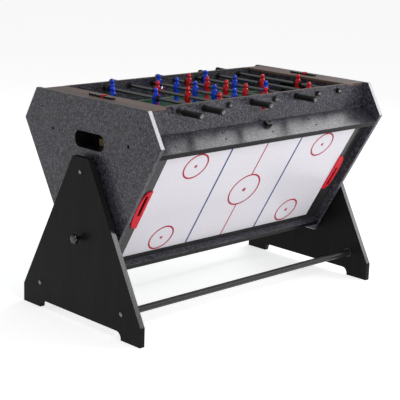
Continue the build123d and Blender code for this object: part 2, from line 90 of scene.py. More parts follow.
@dataclass(frozen=True)
class Drum:
    """Where the drum's faces are.

    Attributes:
        axis_z: Height of the turning axis over the floor.
        rim: Distance of every game's rim from the axis.
        inner_x: Inner face of the end panels.
        outer_x: Outer face of the end panels.
        wall_y: Outer face of a game's long walls, from the middle of the face.
    """

    axis_z: float
    rim: float
    inner_x: float
    outer_x: float
    wall_y: float

    @classmethod
    def from_frame(cls) -> "Drum":
        """Reads the sizes from the joint record and the boxes of the drum's boards."""
        joints = frame["record"]["behaviour"]["joints"]
        turn = next(joint for joint in joints if joint["name"] == "drum_turn")
        axis_z = turn["pos_m"][2]
        panel_low, panel_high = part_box("right_end_panel")
        _, wall_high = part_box("soccer_walls")
        return cls(axis_z, wall_high[2] - axis_z, panel_low[0], panel_high[0], wall_high[1])

    def matrix(self, game: Game, height: float = 0.0) -> Matrix:
        """Frame of a game's face.

        Args:
            game: Which face.
            height: Distance of the frame's origin from the axis.

        Returns:
            A matrix whose X runs along the table, Y across the face and Z out of it.
        """
        turn = Matrix.Rotation(math.radians(game.value), 4, "X")
        return Matrix.Translation((0, 0, self.axis_z)) @ turn @ Matrix.Translation((0, 0, height))


# --- shader helpers -----------------------------------------------------------------------------
class Nodes:
    """Adds and links the nodes of one material or one node group."""

    def __init__(self, tree: bpy.types.NodeTree) -> None:
        """Keeps the tree that the nodes go into."""
        self.tree = tree

    def add(self, kind: str, inputs: dict | None = None, **settings: object) -> bpy.types.Node:
        """Adds a node.

        Args:
            kind: The node's type name.
            inputs: Values or output sockets for its inputs, by name or number.
            **settings: Properties of the node.

        Returns:
            The new node.
        """
        node = self.tree.nodes.new(kind)
        for key, value in settings.items():
            setattr(node, key, value)
        for key, value in (inputs or {}).items():
            if isinstance(value, bpy.types.NodeSocket):
                self.tree.links.new(value, node.inputs[key])
            else:
                node.inputs[key].default_value = value
        return node

    def math(self, operation: str, a: object, b: object = 0.0) -> bpy.types.NodeSocket:
        """Adds a Math node and returns its output."""
        return self.add("ShaderNodeMath", {0: a, 1: b}, operation=operation).outputs[0]

    def mix(self, factor: object, a: object, b: object) -> bpy.types.NodeSocket:
        """Mixes two colours and returns the result."""
        node = self.add("ShaderNodeMix", data_type="RGBA")
        for index, value in ((0, factor), (6, a), (7, b)):
            if isinstance(value, bpy.types.NodeSocket):
                self.tree.links.new(value, node.inputs[index])
            else:
                node.inputs[index].default_value = value
        return node.outputs[2]

    def ramp(self, factor: bpy.types.NodeSocket, low: float, high: float) -> bpy.types.NodeSocket:
        """Stretches low..high of a value to 0..1, clamped, and returns the result."""
        node = self.add("ShaderNodeMapRange", {0: factor, 1: low, 2: high}, clamp=True)
        return node.outputs[0]

    def noise(self, vector: object, scale: object, detail: float = 2.0) -> bpy.types.NodeSocket:
        """Adds a noise texture and returns its value."""
        node = self.add("ShaderNodeTexNoise", {"Vector": vector, "Scale": scale, "Detail": detail})
        return node.outputs[0]


def new_group(
    name: str,
    inputs: Sequence[tuple[str, str, object]],
    outputs: Sequence[tuple[str, str]],
) -> tuple[Nodes, bpy.types.Node, bpy.types.Node]:
    """Starts a shader node group.

    Args:
        name: The group's name.
        inputs: Name, socket type and default of each input.
        outputs: Name and socket type of each output.

    Returns:
        The group's node helper, its input node and its output node.
    """
    tree = bpy.data.node_groups.new(name, "ShaderNodeTree")
    for label, kind, default in inputs:
        socket = tree.interface.new_socket(label, in_out="INPUT", socket_type=kind)
        if default is not None:
            socket.default_value = default
    for label, kind in outputs:
        tree.interface.new_socket(label, in_out="OUTPUT", socket_type=kind)
    nodes = Nodes(tree)
    return nodes, nodes.add("NodeGroupInput"), nodes.add("NodeGroupOutput")


FLOAT, COLOUR, VECTOR = "NodeSocketFloat", "NodeSocketColor", "NodeSocketVector"


def speckle_group() -> bpy.types.ShaderNodeTree:
    """Granite print: soft patches under fine light and dark flecks."""
    nodes, source, out = new_group(
        "granite_speckle",
        [
            ("Vector", VECTOR, None),
            ("Fleck Size", FLOAT, 0.006),
            ("Base", COLOUR, (0.06, 0.06, 0.07, 1)),
            ("Light", COLOUR, (0.2, 0.2, 0.22, 1)),
            ("Dark", COLOUR, (0.01, 0.01, 0.012, 1)),
        ],
        [("Colour", COLOUR), ("Height", FLOAT)],
    )
    scale = nodes.math("DIVIDE", 1.0, source.outputs["Fleck Size"])
    vector = nodes.add(
        "ShaderNodeVectorMath", {0: source.outputs["Vector"], 1: (1.0, 1.0, 0.85)}, operation="MULTIPLY"
    ).outputs[0]
    patches = nodes.noise(vector, nodes.math("MULTIPLY", scale, 0.45), 3.0)
    flecks = nodes.noise(vector, scale, 2.0)
    fine = nodes.noise(vector, nodes.math("MULTIPLY", scale, 2.7), 1.0)
    soft = nodes.mix(nodes.ramp(patches, 0.35, 0.68), source.outputs["Dark"], source.outputs["Base"])
    lit = nodes.mix(nodes.ramp(flecks, 0.47, 0.63), soft, source.outputs["Light"])
    dark = nodes.mix(nodes.ramp(fine, 0.54, 0.66), lit, source.outputs["Dark"])
    nodes.tree.links.new(dark, out.inputs["Colour"])
    nodes.tree.links.new(flecks, out.inputs["Height"])
    return nodes.tree


def handling_group() -> bpy.types.ShaderNodeTree:
    """Fingermarks and dust: a roughness that wanders and a colour that greys a little."""
    nodes, source, out = new_group(
        "handling",
        [
            ("Vector", VECTOR, None),
            ("Colour", COLOUR, (0.5, 0.5, 0.5, 1)),
            ("Roughness", FLOAT, 0.4),
            ("Wander", FLOAT, 0.08),
            ("Dust", FLOAT, 0.03),
        ],
        [("Colour", COLOUR), ("Roughness", FLOAT)],
    )
    vector = source.outputs["Vector"]
    broad = nodes.ramp(nodes.noise(vector, 9.0, 4.0), 0.3, 0.7)
    streaks = nodes.ramp(nodes.noise(vector, 60.0, 3.0), 0.35, 0.7)
    marks = nodes.math("SUBTRACT", nodes.math("MULTIPLY", broad, streaks), 0.3)
    wandering = nodes.math("MULTIPLY", marks, source.outputs["Wander"])
    rough = nodes.math("ADD", source.outputs["Roughness"], wandering)
    dust = nodes.math("MULTIPLY", broad, source.outputs["Dust"])
    dusted = nodes.mix(dust, source.outputs["Colour"], (0.55, 0.53, 0.5, 1))
    nodes.tree.links.new(dusted, out.inputs["Colour"])
    nodes.tree.links.new(rough, out.inputs["Roughness"])
    return nodes.tree


def grain_group() -> bpy.types.ShaderNodeTree:
    """Wood grain along Y: long stretched fibres with slow waves in them."""
    nodes, source, out = new_group(
        "wood_grain",
        [
            ("Vector", VECTOR, None),
            ("Stretch", VECTOR, (90.0, 5.0, 90.0)),
            ("Light", COLOUR, (0.3, 0.2, 0.15, 1)),
            ("Dark", COLOUR, (0.12, 0.07, 0.05, 1)),
        ],
        [("Colour", COLOUR), ("Height", FLOAT)],
    )
    stretched = nodes.add(
        "ShaderNodeVectorMath",
        {0: source.outputs["Vector"], 1: source.outputs["Stretch"]},
        operation="MULTIPLY",
    ).outputs[0]
    fibres = nodes.noise(stretched, 1.0, 6.0)
    bands = nodes.noise(stretched, 0.35, 2.0)
    both = nodes.math("ADD", nodes.math("MULTIPLY", fibres, 0.6), nodes.math("MULTIPLY", bands, 0.4))
    colour = nodes.mix(nodes.ramp(both, 0.35, 0.65), source.outputs["Dark"], source.outputs["Light"])
    nodes.tree.links.new(colour, out.inputs["Colour"])
    nodes.tree.links.new(fibres, out.inputs["Height"])
    return nodes.tree


GROUPS: dict[str, bpy.types.ShaderNodeTree] = {}


def group(name: str, build: Callable[[], bpy.types.ShaderNodeTree]) -> bpy.types.ShaderNodeTree:
    """Returns the shared group of that name, built the first time."""
    if name not in GROUPS:
        GROUPS[name] = build()
    return GROUPS[name]


# --- finishes -----------------------------------------------------------------------------------
Rgb = tuple[float, float, float]


def rgba(colour: Rgb) -> tuple[float, float, float, float]:
    """Adds full opacity to a colour."""
    return (*colour, 1.0)


@dataclass(frozen=True)
class Finish:
    """A surface finish.

    Attributes:
        name: The material's name.
        colour: Main linear colour.
        slot: The record's material slot; not used.
        roughness: Mean roughness.
        wander: How much the roughness varies.
        dust: How much of the surface greys.
        bump: Depth of the surface texture.
        grit: Frequency of the surface texture, per metre.
        metallic: 1 for bare metal.
        coat: Weight of a clear coat.
        specular: Strength of the plain reflection, 0.5 for most plastics.
        mottle: Share by which the colour darkens in places.
    """

    name: str
    colour: Rgb
    slot: str = ""
    roughness: float = 0.4
    wander: float = 0.08
    dust: float = 0.02
    bump: float = 0.00005
    grit: float = 900.0
    metallic: float = 0.0
    coat: float = 0.0
    specular: float = 0.5
    mottle: float = 0.2

    def paint(self, nodes: Nodes, vector: bpy.types.NodeSocket) -> tuple[object, object]:
        """Makes the colour and the height of the surface.

        Args:
            nodes: The material's node helper.
            vector: Object coordinates.

        Returns:
            A colour and a height, each a socket.
        """
        grit = nodes.noise(vector, self.grit, 2.0)
        darker = tuple(channel * (1 - self.mottle) for channel in self.colour)
        return nodes.mix(nodes.ramp(grit, 0.3, 0.7), rgba(darker), rgba(self.colour)), grit

    def material(self) -> bpy.types.Material:
        """Returns the finish's material, built the first time."""
        known = bpy.data.materials.get(self.name)
        if known:
            return known
        material = bpy.data.materials.new(self.name)
        material.use_nodes = True
        nodes = Nodes(material.node_tree)
        shader = material.node_tree.nodes["Principled BSDF"]
        vector = nodes.add("ShaderNodeTexCoord").outputs["Object"]
        colour, height = self.paint(nodes, vector)
        handled = nodes.add("ShaderNodeGroup", node_tree=group("handling", handling_group))
        for key, value in (("Vector", vector), ("Colour", colour)):
            nodes.tree.links.new(value, handled.inputs[key])
        handled.inputs["Roughness"].default_value = self.roughness
        handled.inputs["Wander"].default_value = self.wander
        handled.inputs["Dust"].default_value = self.dust
        bump = nodes.add("ShaderNodeBump", {"Height": height, "Distance": self.bump, "Strength": 1.0})
        nodes.tree.links.new(handled.outputs["Colour"], shader.inputs["Base Color"])
        nodes.tree.links.new(handled.outputs["Roughness"], shader.inputs["Roughness"])
        nodes.tree.links.new(bump.outputs[0], shader.inputs["Normal"])
        shader.inputs["Metallic"].default_value = self.metallic
        shader.inputs["Specular IOR Level"].default_value = self.specular
        shader.inputs["Coat Weight"].default_value = self.coat
        shader.inputs["Coat Roughness"].default_value = 0.12
        return material


@dataclass(frozen=True)
class Granite(Finish):
    """Laminate printed as granite.

    Attributes:
        light: Colour of the light flecks.
        dark: Colour of the dark flecks.
        fleck: Size of a fleck in metres.
    """

    light: Rgb = (0.18, 0.18, 0.2)
    dark: Rgb = (0.008, 0.008, 0.01)
    fleck: float = 0.006

    def paint(self, nodes: Nodes, vector: bpy.types.NodeSocket) -> tuple[object, object]:
        """Flecks over soft patches, with the flecks faintly embossed."""
        node = nodes.add("ShaderNodeGroup", node_tree=group("speckle", speckle_group))
        nodes.tree.links.new(vector, node.inputs["Vector"])
        node.inputs["Fleck Size"].default_value = self.fleck
        for key, colour in (("Base", self.colour), ("Light", self.light), ("Dark", self.dark)):
            node.inputs[key].default_value = rgba(colour)
        return node.outputs["Colour"], node.outputs["Height"]


@dataclass(frozen=True)
class Grain(Finish):
    """Wood-grain foil or raw board.

    Attributes:
        dark: Colour between the fibres.
        stretch: Frequency of the fibres along X, Y and Z, per metre.
    """

    dark: Rgb = (0.1, 0.06, 0.045)
    stretch: Point = (90.0, 5.0, 90.0)

    def paint(self, nodes: Nodes, vector: bpy.types.NodeSocket) -> tuple[object, object]:
        """Long fibres, embossed."""
        node = nodes.add("ShaderNodeGroup", node_tree=group("grain", grain_group))
        nodes.tree.links.new(vector, node.inputs["Vector"])
        node.inputs["Stretch"].default_value = self.stretch
        node.inputs["Light"].default_value = rgba(self.colour)
        node.inputs["Dark"].default_value = rgba(self.dark)
        return node.outputs["Colour"], node.outputs["Height"]


@dataclass(frozen=True)
class Cloth(Finish):
    """Woven billiard cloth.

    Attributes:
        thread: Distance between threads in metres.
    """

    thread: float = 0.0012

    def paint(self, nodes: Nodes, vector: bpy.types.NodeSocket) -> tuple[object, object]:
        """Crossed threads with a little nap."""
        turns = 2 * math.pi / self.thread
        axes = nodes.add("ShaderNodeSeparateXYZ", {0: vector})
        warp = nodes.math("SINE", nodes.math("MULTIPLY", axes.outputs[0], turns))
        weft = nodes.math("SINE", nodes.math("MULTIPLY", axes.outputs[2], turns))
        weave = nodes.math("MULTIPLY", warp, weft)
        nap = nodes.noise(vector, 240.0, 4.0)
        height = nodes.math("ADD", nodes.math("MULTIPLY", weave, 0.3), nap)
        darker = tuple(channel * 0.62 for channel in self.colour)
        return nodes.mix(nodes.ramp(height, 0.1, 0.9), rgba(darker), rgba(self.colour)), height


@dataclass(frozen=True)
class PrintedField(Finish):
    """White gloss playfield inside a dark printed border.

    Attributes:
        border: Colour of the border.
        half: Half length and half width of the white part.
        turn: Turn of the playfield's face about the drum's axis, in degrees.
        axis_z: Height of that axis.
    """

    border: Rgb = (0.012, 0.012, 0.013)
    half: tuple[float, float] = (0.5, 0.2)
    turn: float = 0.0
    axis_z: float = 0.0

    def paint(self, nodes: Nodes, vector: bpy.types.NodeSocket) -> tuple[object, object]:
        """White within the half sizes of the face, and the border's colour outside them."""
        white, height = super().paint(nodes, vector)
        turn = (math.radians(self.turn), 0, 0)
        place = {"Vector": vector, "Location": (0, 0, self.axis_z), "Rotation": turn}
        local = nodes.add("ShaderNodeMapping", place, vector_type="TEXTURE")
        axes = nodes.add("ShaderNodeSeparateXYZ", {0: local.outputs[0]})
        inside = [
            nodes.math("LESS_THAN", nodes.math("ABSOLUTE", axes.outputs[i]), half)
            for i, half in enumerate(self.half)
        ]
        return nodes.mix(nodes.math("MULTIPLY", *inside), rgba(self.border), white), height


LAMINATE = Granite(
    "granite_laminate",
    (0.036, 0.0335, 0.044),
    "laminate",
    roughness=0.3,
    wander=0.05,
    bump=0.00001,
    specular=0.35,
    light=(0.098, 0.092, 0.122),
    dark=(0.006, 0.0055, 0.0075),
    fleck=0.0068,
)
SATIN_BLACK = Grain(
    "satin_black_board",
    (0.0085, 0.008, 0.0075),
    "legs",
    roughness=0.4,
    bump=0.00003,
    dark=(0.005, 0.005, 0.005),
    stretch=(60.0, 60.0, 6.0),
    specular=0.07,
    dust=0.004,
)
WOOD_CAP = Grain(
    "brown_woodgrain_cap",
    (0.16, 0.097, 0.078),
    "woodgrain",
    roughness=0.42,
    dark=(0.065, 0.04, 0.034),
    specular=0.35,
)
BROWN_EDGING = Finish("brown_edging", (0.07, 0.042, 0.03), "woodgrain", roughness=0.4, grit=300.0)
BLACK_EDGING = Finish(
    "black_edging", (0.006, 0.006, 0.006), "black_plastic", roughness=0.35, dust=0.002, specular=0.08
)
GLOSS_EDGING = Finish(
    "gloss_black_edging", (0.008, 0.008, 0.008), "black_plastic", roughness=0.16, dust=0.003, specular=0.6
)
RAW_BOARD = Grain("raw_board", (0.36, 0.28, 0.12), "raw_board", roughness=0.7, dark=(0.2, 0.15, 0.07))
EDGING = Finish("silver_edging", (0.62, 0.62, 0.66), "edging", roughness=0.35, grit=300.0)
PITCH = Granite(
    "printed_pitch",
    (0.014, 0.08, 0.034),
    "pitch",
    roughness=0.4,
    specular=0.3,
    light=(0.028, 0.125, 0.055),
    dark=(0.009, 0.055, 0.022),
    fleck=0.004,
)
ICE_WHITE: Rgb = (0.575, 0.56, 0.6)
# Colour of the air-hole discs: painted shade standing for the dark inside of each hole.
AIR_HOLE_SHADE = Finish("dark_field_border", (0.03, 0.03, 0.034), "ice", roughness=0.3)
LINE_BLUE = Finish("blue_line_ink", (0.006, 0.032, 0.17), "blue_plastic", roughness=0.35, specular=0.12)
LINE_RED = Finish("red_line_ink", (0.36, 0.004, 0.03), "red_plastic", roughness=0.35, specular=0.12)
LINE_WHITE = Finish("white_line_ink", (0.75, 0.77, 0.75), "ice", roughness=0.3)
GLOSSY: dict[str, float] = {"roughness": 0.22, "grit": 200.0, "specular": 0.35}
RED = Finish("red_moulding", (0.6, 0.002, 0.012), "red_plastic", **GLOSSY)
BLUE = Finish("blue_moulding", (0.003, 0.05, 0.66), "blue_plastic", **GLOSSY)
GOAL_RED = Finish("goal_red", (0.56, 0.002, 0.018), "red_plastic", roughness=0.4, grit=200.0, specular=0.12)
# Serve-hole liner: partly the liner's own red, partly painted shade inside the hole, darkened well below
# the moulding red.
SHADED_RED_LINER = Finish("dark_red_liner", (0.2, 0.004, 0.01), "red_plastic", roughness=0.35)
BLACK = Finish(
    "black_moulding",
    (0.007, 0.007, 0.008),
    "black_plastic",
    roughness=0.3,
    bump=0.00006,
    grit=1400.0,
    specular=0.22,
)
GLOSS_BLACK = Finish(
    "gloss_black_knob", (0.07, 0.07, 0.07), "black_plastic", roughness=0.13, bump=0.00001, metallic=1.0
)
RUBBER = Finish(
    "black_rubber",
    (0.006, 0.006, 0.0065),
    "rubber",
    roughness=0.36,
    bump=0.00006,
    grit=2200.0,
    dust=0.008,
    specular=0.22,
)
RED_RUBBER = Finish("red_rubber", (0.5, 0.02, 0.02), "rubber", roughness=0.6, bump=0.0001, grit=2200.0)
WHITE_RUBBER = Finish("white_rubber", (0.7, 0.69, 0.64), "rubber", roughness=0.6, bump=0.0001, grit=2200.0)
STEEL = Finish(
    "dark_rod_steel", (0.2, 0.2, 0.205), "chrome", roughness=0.2, wander=0.08, metallic=1.0, bump=0.00001
)
POWDER = Finish(
    "black_powder_coat",
    (0.011, 0.011, 0.012),
    "black_steel",
    roughness=0.35,
    bump=0.00012,
    grit=1800.0,
    specular=0.35,
)
ZINC = Finish("black_zinc_screw", (0.03, 0.03, 0.034), "black_steel", roughness=0.35, metallic=0.8)
CLOTH = Cloth("green_cloth", (0.02, 0.21, 0.1), "cloth", roughness=0.9, wander=0.04, bump=0.0002)
FLOOR = Finish(
    "pale_floor", (0.88, 0.88, 0.89), roughness=0.8, wander=0.02, dust=0.0, bump=0.0, specular=0.0
)


# --- mesh helpers -------------------------------------------------------------------------------
class Shape:
    """Faces gathered in one bmesh and then made one object at the origin."""

    def __init__(self) -> None:
        """Starts empty."""
        self.bm = bmesh.new()

    def loft(self, rings: Iterable[Ring], closed: bool = False) -> None:
        """Skins rings of equal point count.

        Args:
            rings: The rings in order.
            closed: True joins the last ring to the first, otherwise both ends are capped.
        """
        made = [[self.bm.verts.new(point) for point in ring] for ring in rings]
        pairs = list(zip(made, made[1:]))
        if closed:
            pairs.append((made[-1], made[0]))
        for low, high in pairs:
            count = len(low)
            for i in range(count):
                self.bm.faces.new((low[i], low[(i + 1) % count], high[(i + 1) % count], high[i]))
        if not closed:
            self.bm.faces.new(list(reversed(made[0])))
            self.bm.faces.new(made[-1])

    def lathe(self, place: Matrix, profile: Sequence[tuple[float, float]], segments: int = 32) -> None:
        """Turns a profile of (distance along, radius) about the place's Z axis.

        Args:
            place: Where the axis is.
            profile: Points in order; the ends are capped.
            segments: Faces round the axis.
        """
        self.loft([round_ring(place, along, radius, segments) for along, radius in profile])

    def ring(self, place: Matrix, section: Sequence[tuple[float, float]], segments: int) -> None:
        """Turns a closed section of (distance along, radius) about the place's Z axis."""
        self.loft([round_ring(place, along, radius, segments) for along, radius in section], closed=True)

    def slab(self, place: Matrix, outline: Sequence[tuple[float, float]], thickness: float) -> None:
        """Raises a flat outline into a slab along the place's Z axis."""
        self.loft([[place @ Vector((x, y, height)) for x, y in outline] for height in (0.0, thickness)])

    def band(
        self,
        place: Matrix,
        outer: Sequence[tuple],
        inner: Sequence[tuple],
        thickness: float,
        chamfer: float = 0.0,
    ) -> None:
        """Raises the band between two outlines of equal count, as a closed ring.

        Args:
            place: Its frame.
            outer: The outer outline.
            inner: The inner outline.
            thickness: Its height along the place's Z axis.
            chamfer: Width of the chamfer on both upper edges.
        """
        sections = []
        for a, b in zip(outer, inner):
            out, into = Vector((*a, 0)), Vector((*b, 0))
            step = (into - out).normalized() * chamfer
            low, high = Vector((0, 0, thickness - chamfer)), Vector((0, 0, thickness))
            corners = [out, out + low, into + low, into]
            if chamfer:
                corners = [out, out + low, out + step + high, into - step + high, into + low, into]
            sections.append([place @ corner for corner in corners])
        self.loft(sections, closed=True)

    def mesh(self, name: str) -> bpy.types.Mesh:
        """Makes a mesh of the faces and empties the shape."""
        bmesh.ops.recalc_face_normals(self.bm, faces=self.bm.faces)
        mesh = bpy.data.meshes.new(name)
        self.bm.to_mesh(mesh)
        self.bm.free()
        return mesh

    def piece(
        self,
        name: str,
        finish: Finish,
        body: str,
        replaces: Sequence[str] = (),
        smooth: float = 35.0,
    ) -> bpy.types.Object:
        """Args:
            name: The piece's name.
            finish: Its finish.
            body: The CAD body that it rides on.
            replaces: CAD nodes that it stands for.
            smooth: Angle in degrees under which edges shade smooth.

        Returns:
            The new object.
        """
        return declare(name, self.mesh(name), finish, body, replaces, smooth)


def add_object(name: str, data: bpy.types.ID) -> bpy.types.Object:
    """Makes an object of some data and links it into the scene."""
    item = bpy.data.objects.new(name, data)
    bpy.context.scene.collection.objects.link(item)
    return item


def applied(item: bpy.types.Object) -> bpy.types.Mesh:
    """Mesh of an object as its modifiers leave it."""
    return bpy.data.meshes.new_from_object(item.evaluated_get(bpy.context.evaluated_depsgraph_get()))


def declare(
    name: str,
    mesh: bpy.types.Mesh,
    finish: Finish,
    body: str,
    replaces: Sequence[str] = (),
    smooth: float = 35.0,
) -> bpy.types.Object:
    """Puts a mesh in the scene as a piece that rides on a body.

    Args:
        name: The piece's name.
        mesh: Its mesh, in the row frame.
        finish: Its finish.
        body: The CAD body that it rides on.
        replaces: CAD nodes that it stands for.
        smooth: Angle in degrees under which edges shade smooth.

    Returns:
        The new object.
    """
    mesh.materials.clear()
    mesh.materials.append(finish.material())
    mesh.shade_smooth()
    mesh.set_sharp_from_angle(angle=math.radians(smooth))
    piece = add_object(name, mesh)
    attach(piece, body)
    if replaces:
        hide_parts(*replaces)
    LOG.info("%s: %d faces on %s", name, len(mesh.polygons), body)
    return piece


def round_ring(place: Matrix, along: float, radius: float, segments: int) -> Ring:
    """Points of a circle about the place's Z axis, at a distance along it."""
    turns = [2 * math.pi * i / segments for i in range(segments)]
    return [place @ Vector((radius * math.cos(t), radius * math.sin(t), along)) for t in turns]


def squircle(half_x: float, half_y: float, segments: int, power: float = 2.6) -> list[tuple[float, float]]:
    """Outline between an ellipse and a rectangle."""
    points = []
    for i in range(segments):
        c, s = math.cos(2 * math.pi * i / segments), math.sin(2 * math.pi * i / segments)
        x = math.copysign(abs(c) ** (2 / power), c) * half_x
        y = math.copysign(abs(s) ** (2 / power), s) * half_y
        points.append((x, y))
    return points


def circle(radius: float, x: float = 0.0, y: float = 0.0, segments: int = 64) -> list[tuple[float, float]]:
    """Outline of a circle."""
    turns = [2 * math.pi * i / segments for i in range(segments)]
    return [(x + radius * math.cos(t), y + radius * math.sin(t)) for t in turns]


def box_outline(x0: float, x1: float, y0: float, y1: float) -> list[tuple[float, float]]:
    """Outline of a rectangle."""
    return [(x0, y0), (x1, y0), (x1, y1), (x0, y1)]


def rounded_outline(width: float, length: float, radius: float, x: float) -> list[tuple[float, float]]:
    """Outline of a rectangle with round corners, centred at (x, 0)."""
    path = []
    for cx, cy, first in ((-1, -1, 180), (1, -1, 270), (1, 1, 0), (-1, 1, 90)):
        for i in range(9):
            turn = math.radians(first + 90 * i / 8)
            along = x + cx * (width / 2 - radius) + radius * math.cos(turn)
            path.append((along, cy * (length / 2 - radius) + radius * math.sin(turn)))
    return path


def matched(first: list, second: list, centre: tuple[float, float]) -> tuple[list, list]:
    """Resamples two convex outlines so that their points lie on the same rays from a centre.

    Args:
        first: One outline.
        second: The other outline.
        centre: A point inside both.

    Returns:
        The two outlines with equal point counts.
    """
    middle = Vector(centre)
    offsets = [[Vector(point) - middle for point in outline] for outline in (first, second)]
    turns = sorted({round(math.atan2(point.y, point.x), 5) for outline in offsets for point in outline})
    result = []
    for outline in offsets:
        sampled = []
        for turn in turns:
            ray = Vector((math.cos(turn), math.sin(turn)))
            reach = 0.0
            for a, b in zip(outline, outline[1:] + outline[:1]):
                side_a, side_b = ray.cross(a), ray.cross(b)
                if side_a * side_b <= 0 and side_a != side_b:
                    crossing = a.lerp(b, side_a / (side_a - side_b))
                    reach = max(reach, crossing.dot(ray))
            sampled.append(tuple(middle + ray * reach))
        result.append(sampled)
    return result[0], result[1]


def axis_place(origin: Point, direction: Point) -> Matrix:
    """Frame at origin whose Z axis points along direction."""
    turn = Vector(direction).to_track_quat("Z", "Y").to_matrix().to_4x4()
    return Matrix.Translation(origin) @ turn


def rounded_board(node: str, finish: Finish, body: str, radius: float = 0.0012) -> bpy.types.Object:
    """Replaces a CAD board by a copy with rounded arrises.

    Args:
        node: The CAD node.
        finish: The board's finish.
        body: Its body.
        radius: Radius of the arrises.

    Returns:
        The new piece.
    """
    shape = Shape()
    shape.bm.from_mesh(frame["nodes"][node].data)
    bmesh.ops.remove_doubles(shape.bm, verts=shape.bm.verts, dist=0.00001)
    bmesh.ops.dissolve_limit(
        shape.bm, angle_limit=math.radians(1.0), verts=shape.bm.verts, edges=shape.bm.edges
    )
    piece = declare(f"{node}_board", shape.mesh(f"{node}_board"), finish, body, [node], smooth=40.0)
    bevel = piece.modifiers.new("arris", "BEVEL")
    bevel.width = radius
    bevel.segments = 2
    bevel.limit_method = "ANGLE"
    bevel.angle_limit = math.radians(35.0)
    bevel.harden_normals = True
    return piece


def top_of(drum: Drum, game: Game, node: str) -> Matrix:
    """Frame of a game's face, on top of a CAD node."""
    flat = drum.matrix(game).inverted()
    data = frame["nodes"][node].data
    return drum.matrix(game, max((flat @ vert.co).z for vert in data.vertices))


def dress(node: str, finish: Finish) -> None:
    """Gives a CAD node that keeps its shape its finish."""
    for material_slot in frame["nodes"][node].material_slots:
        material_slot.material = finish.material()
    LOG.info("%s: %s", node, finish.name)


# --- geometry nodes -----------------------------------------------------------------------------
@dataclass
class Scatter:
    """A Geometry Nodes tree that puts one small shape on many points.

    Attributes:
        name: Name of the tree and of the finished piece.
        finish: Finish of the copies.
        body: CAD body that the piece rides on.
        replaces: CAD nodes that the piece stands for.
        twist: Largest random turn of a copy about its own axis.
        places: Point and outward direction of each copy.
    """

    name: str
    finish: Finish
    body: str
    replaces: Sequence[str] = ()
    twist: float = math.pi
    places: list[tuple[Vector, Vector]] = field(default_factory=list)

    def put(self, place: Matrix, x: float, y: float) -> None:
        """Adds a point at (x, y) of the place's XY plane, facing along its Z axis."""
        facing = place.to_3x3() @ Vector((0, 0, 1))
        self.places.append((place @ Vector((x, y, 0)), facing))

    def tree(self) -> bpy.types.NodeTree:
        """Builds the tree: points, instances turned to face outwards, then real mesh."""
        tree = bpy.data.node_groups.new(self.name, "GeometryNodeTree")
        for label, kind in (
            ("Points", "NodeSocketGeometry"),
            ("Shape", "NodeSocketObject"),
            ("Finish", "NodeSocketMaterial"),
            ("Size", "NodeSocketFloat"),
            ("Seed", "NodeSocketInt"),
        ):
            tree.interface.new_socket(label, in_out="INPUT", socket_type=kind)
        tree.interface.new_socket("Pieces", in_out="OUTPUT", socket_type="NodeSocketGeometry")
        nodes = Nodes(tree)
        source, out = nodes.add("NodeGroupInput"), nodes.add("NodeGroupOutput")
        shape = nodes.add("GeometryNodeObjectInfo", {"Object": source.outputs["Shape"]})
        facing = nodes.add("GeometryNodeInputNamedAttribute", {"Name": "facing"}, data_type="FLOAT_VECTOR")
        aim = nodes.add(
            "FunctionNodeAlignRotationToVector", {"Vector": facing.outputs["Attribute"]}, axis="Z"
        )
        twist = nodes.add(
            "FunctionNodeRandomValue",
            {"Min": (0.0, 0.0, -self.twist), "Max": (0.0, 0.0, self.twist), "Seed": source.outputs["Seed"]},
            data_type="FLOAT_VECTOR",
        )
        turn = nodes.add(
            "FunctionNodeRotateRotation",
            {"Rotation": aim.outputs[0], "Rotate By": twist.outputs["Value"]},
            rotation_space="LOCAL",
        )
        copies = nodes.add(
            "GeometryNodeInstanceOnPoints",
            {
                "Points": source.outputs["Points"],
                "Instance": shape.outputs["Geometry"],
                "Rotation": turn.outputs[0],
                "Scale": source.outputs["Size"],
            },
        )
        real = nodes.add("GeometryNodeRealizeInstances", {0: copies.outputs[0]})
        painted = nodes.add(
            "GeometryNodeSetMaterial", {"Geometry": real.outputs[0], "Material": source.outputs["Finish"]}
        )
        tree.links.new(painted.outputs[0], out.inputs[0])
        return tree

    def grow(self, shape: bpy.types.Mesh, size: float = 1.0, seed: int = 7) -> bpy.types.Object:
        """Runs the tree and keeps its result as a plain piece.

        Args:
            shape: The small mesh, its foot at the origin and its head along Z.
            size: Scale of every copy.
            seed: Seed of the copies' twist about their own axis.

        Returns:
            The finished piece.
        """
        mesh = bpy.data.meshes.new(f"{self.name}_points")
        mesh.from_pydata([point for point, _ in self.places], [], [])
        facing = mesh.attributes.new("facing", "FLOAT_VECTOR", "POINT")
        for item, (_, direction) in zip(facing.data, self.places):
            item.vector = direction
        points = add_object(f"{self.name}_points", mesh)
        pattern = bpy.data.objects.new(f"{self.name}_shape", shape)
        modifier = points.modifiers.new("scatter", "NODES")
        modifier.node_group = self.tree()
        values = {"Shape": pattern, "Finish": self.finish.material(), "Size": size, "Seed": seed}
        for item in modifier.node_group.interface.items_tree:
            if item.in_out == "INPUT" and item.name in values:
                modifier[item.identifier] = values[item.name]
        result = applied(points)
        points.modifiers.remove(modifier)
        for spare in (points, pattern):
            bpy.data.objects.remove(spare)
        result.name = self.name
        return declare(self.name, result, self.finish, self.body, self.replaces)


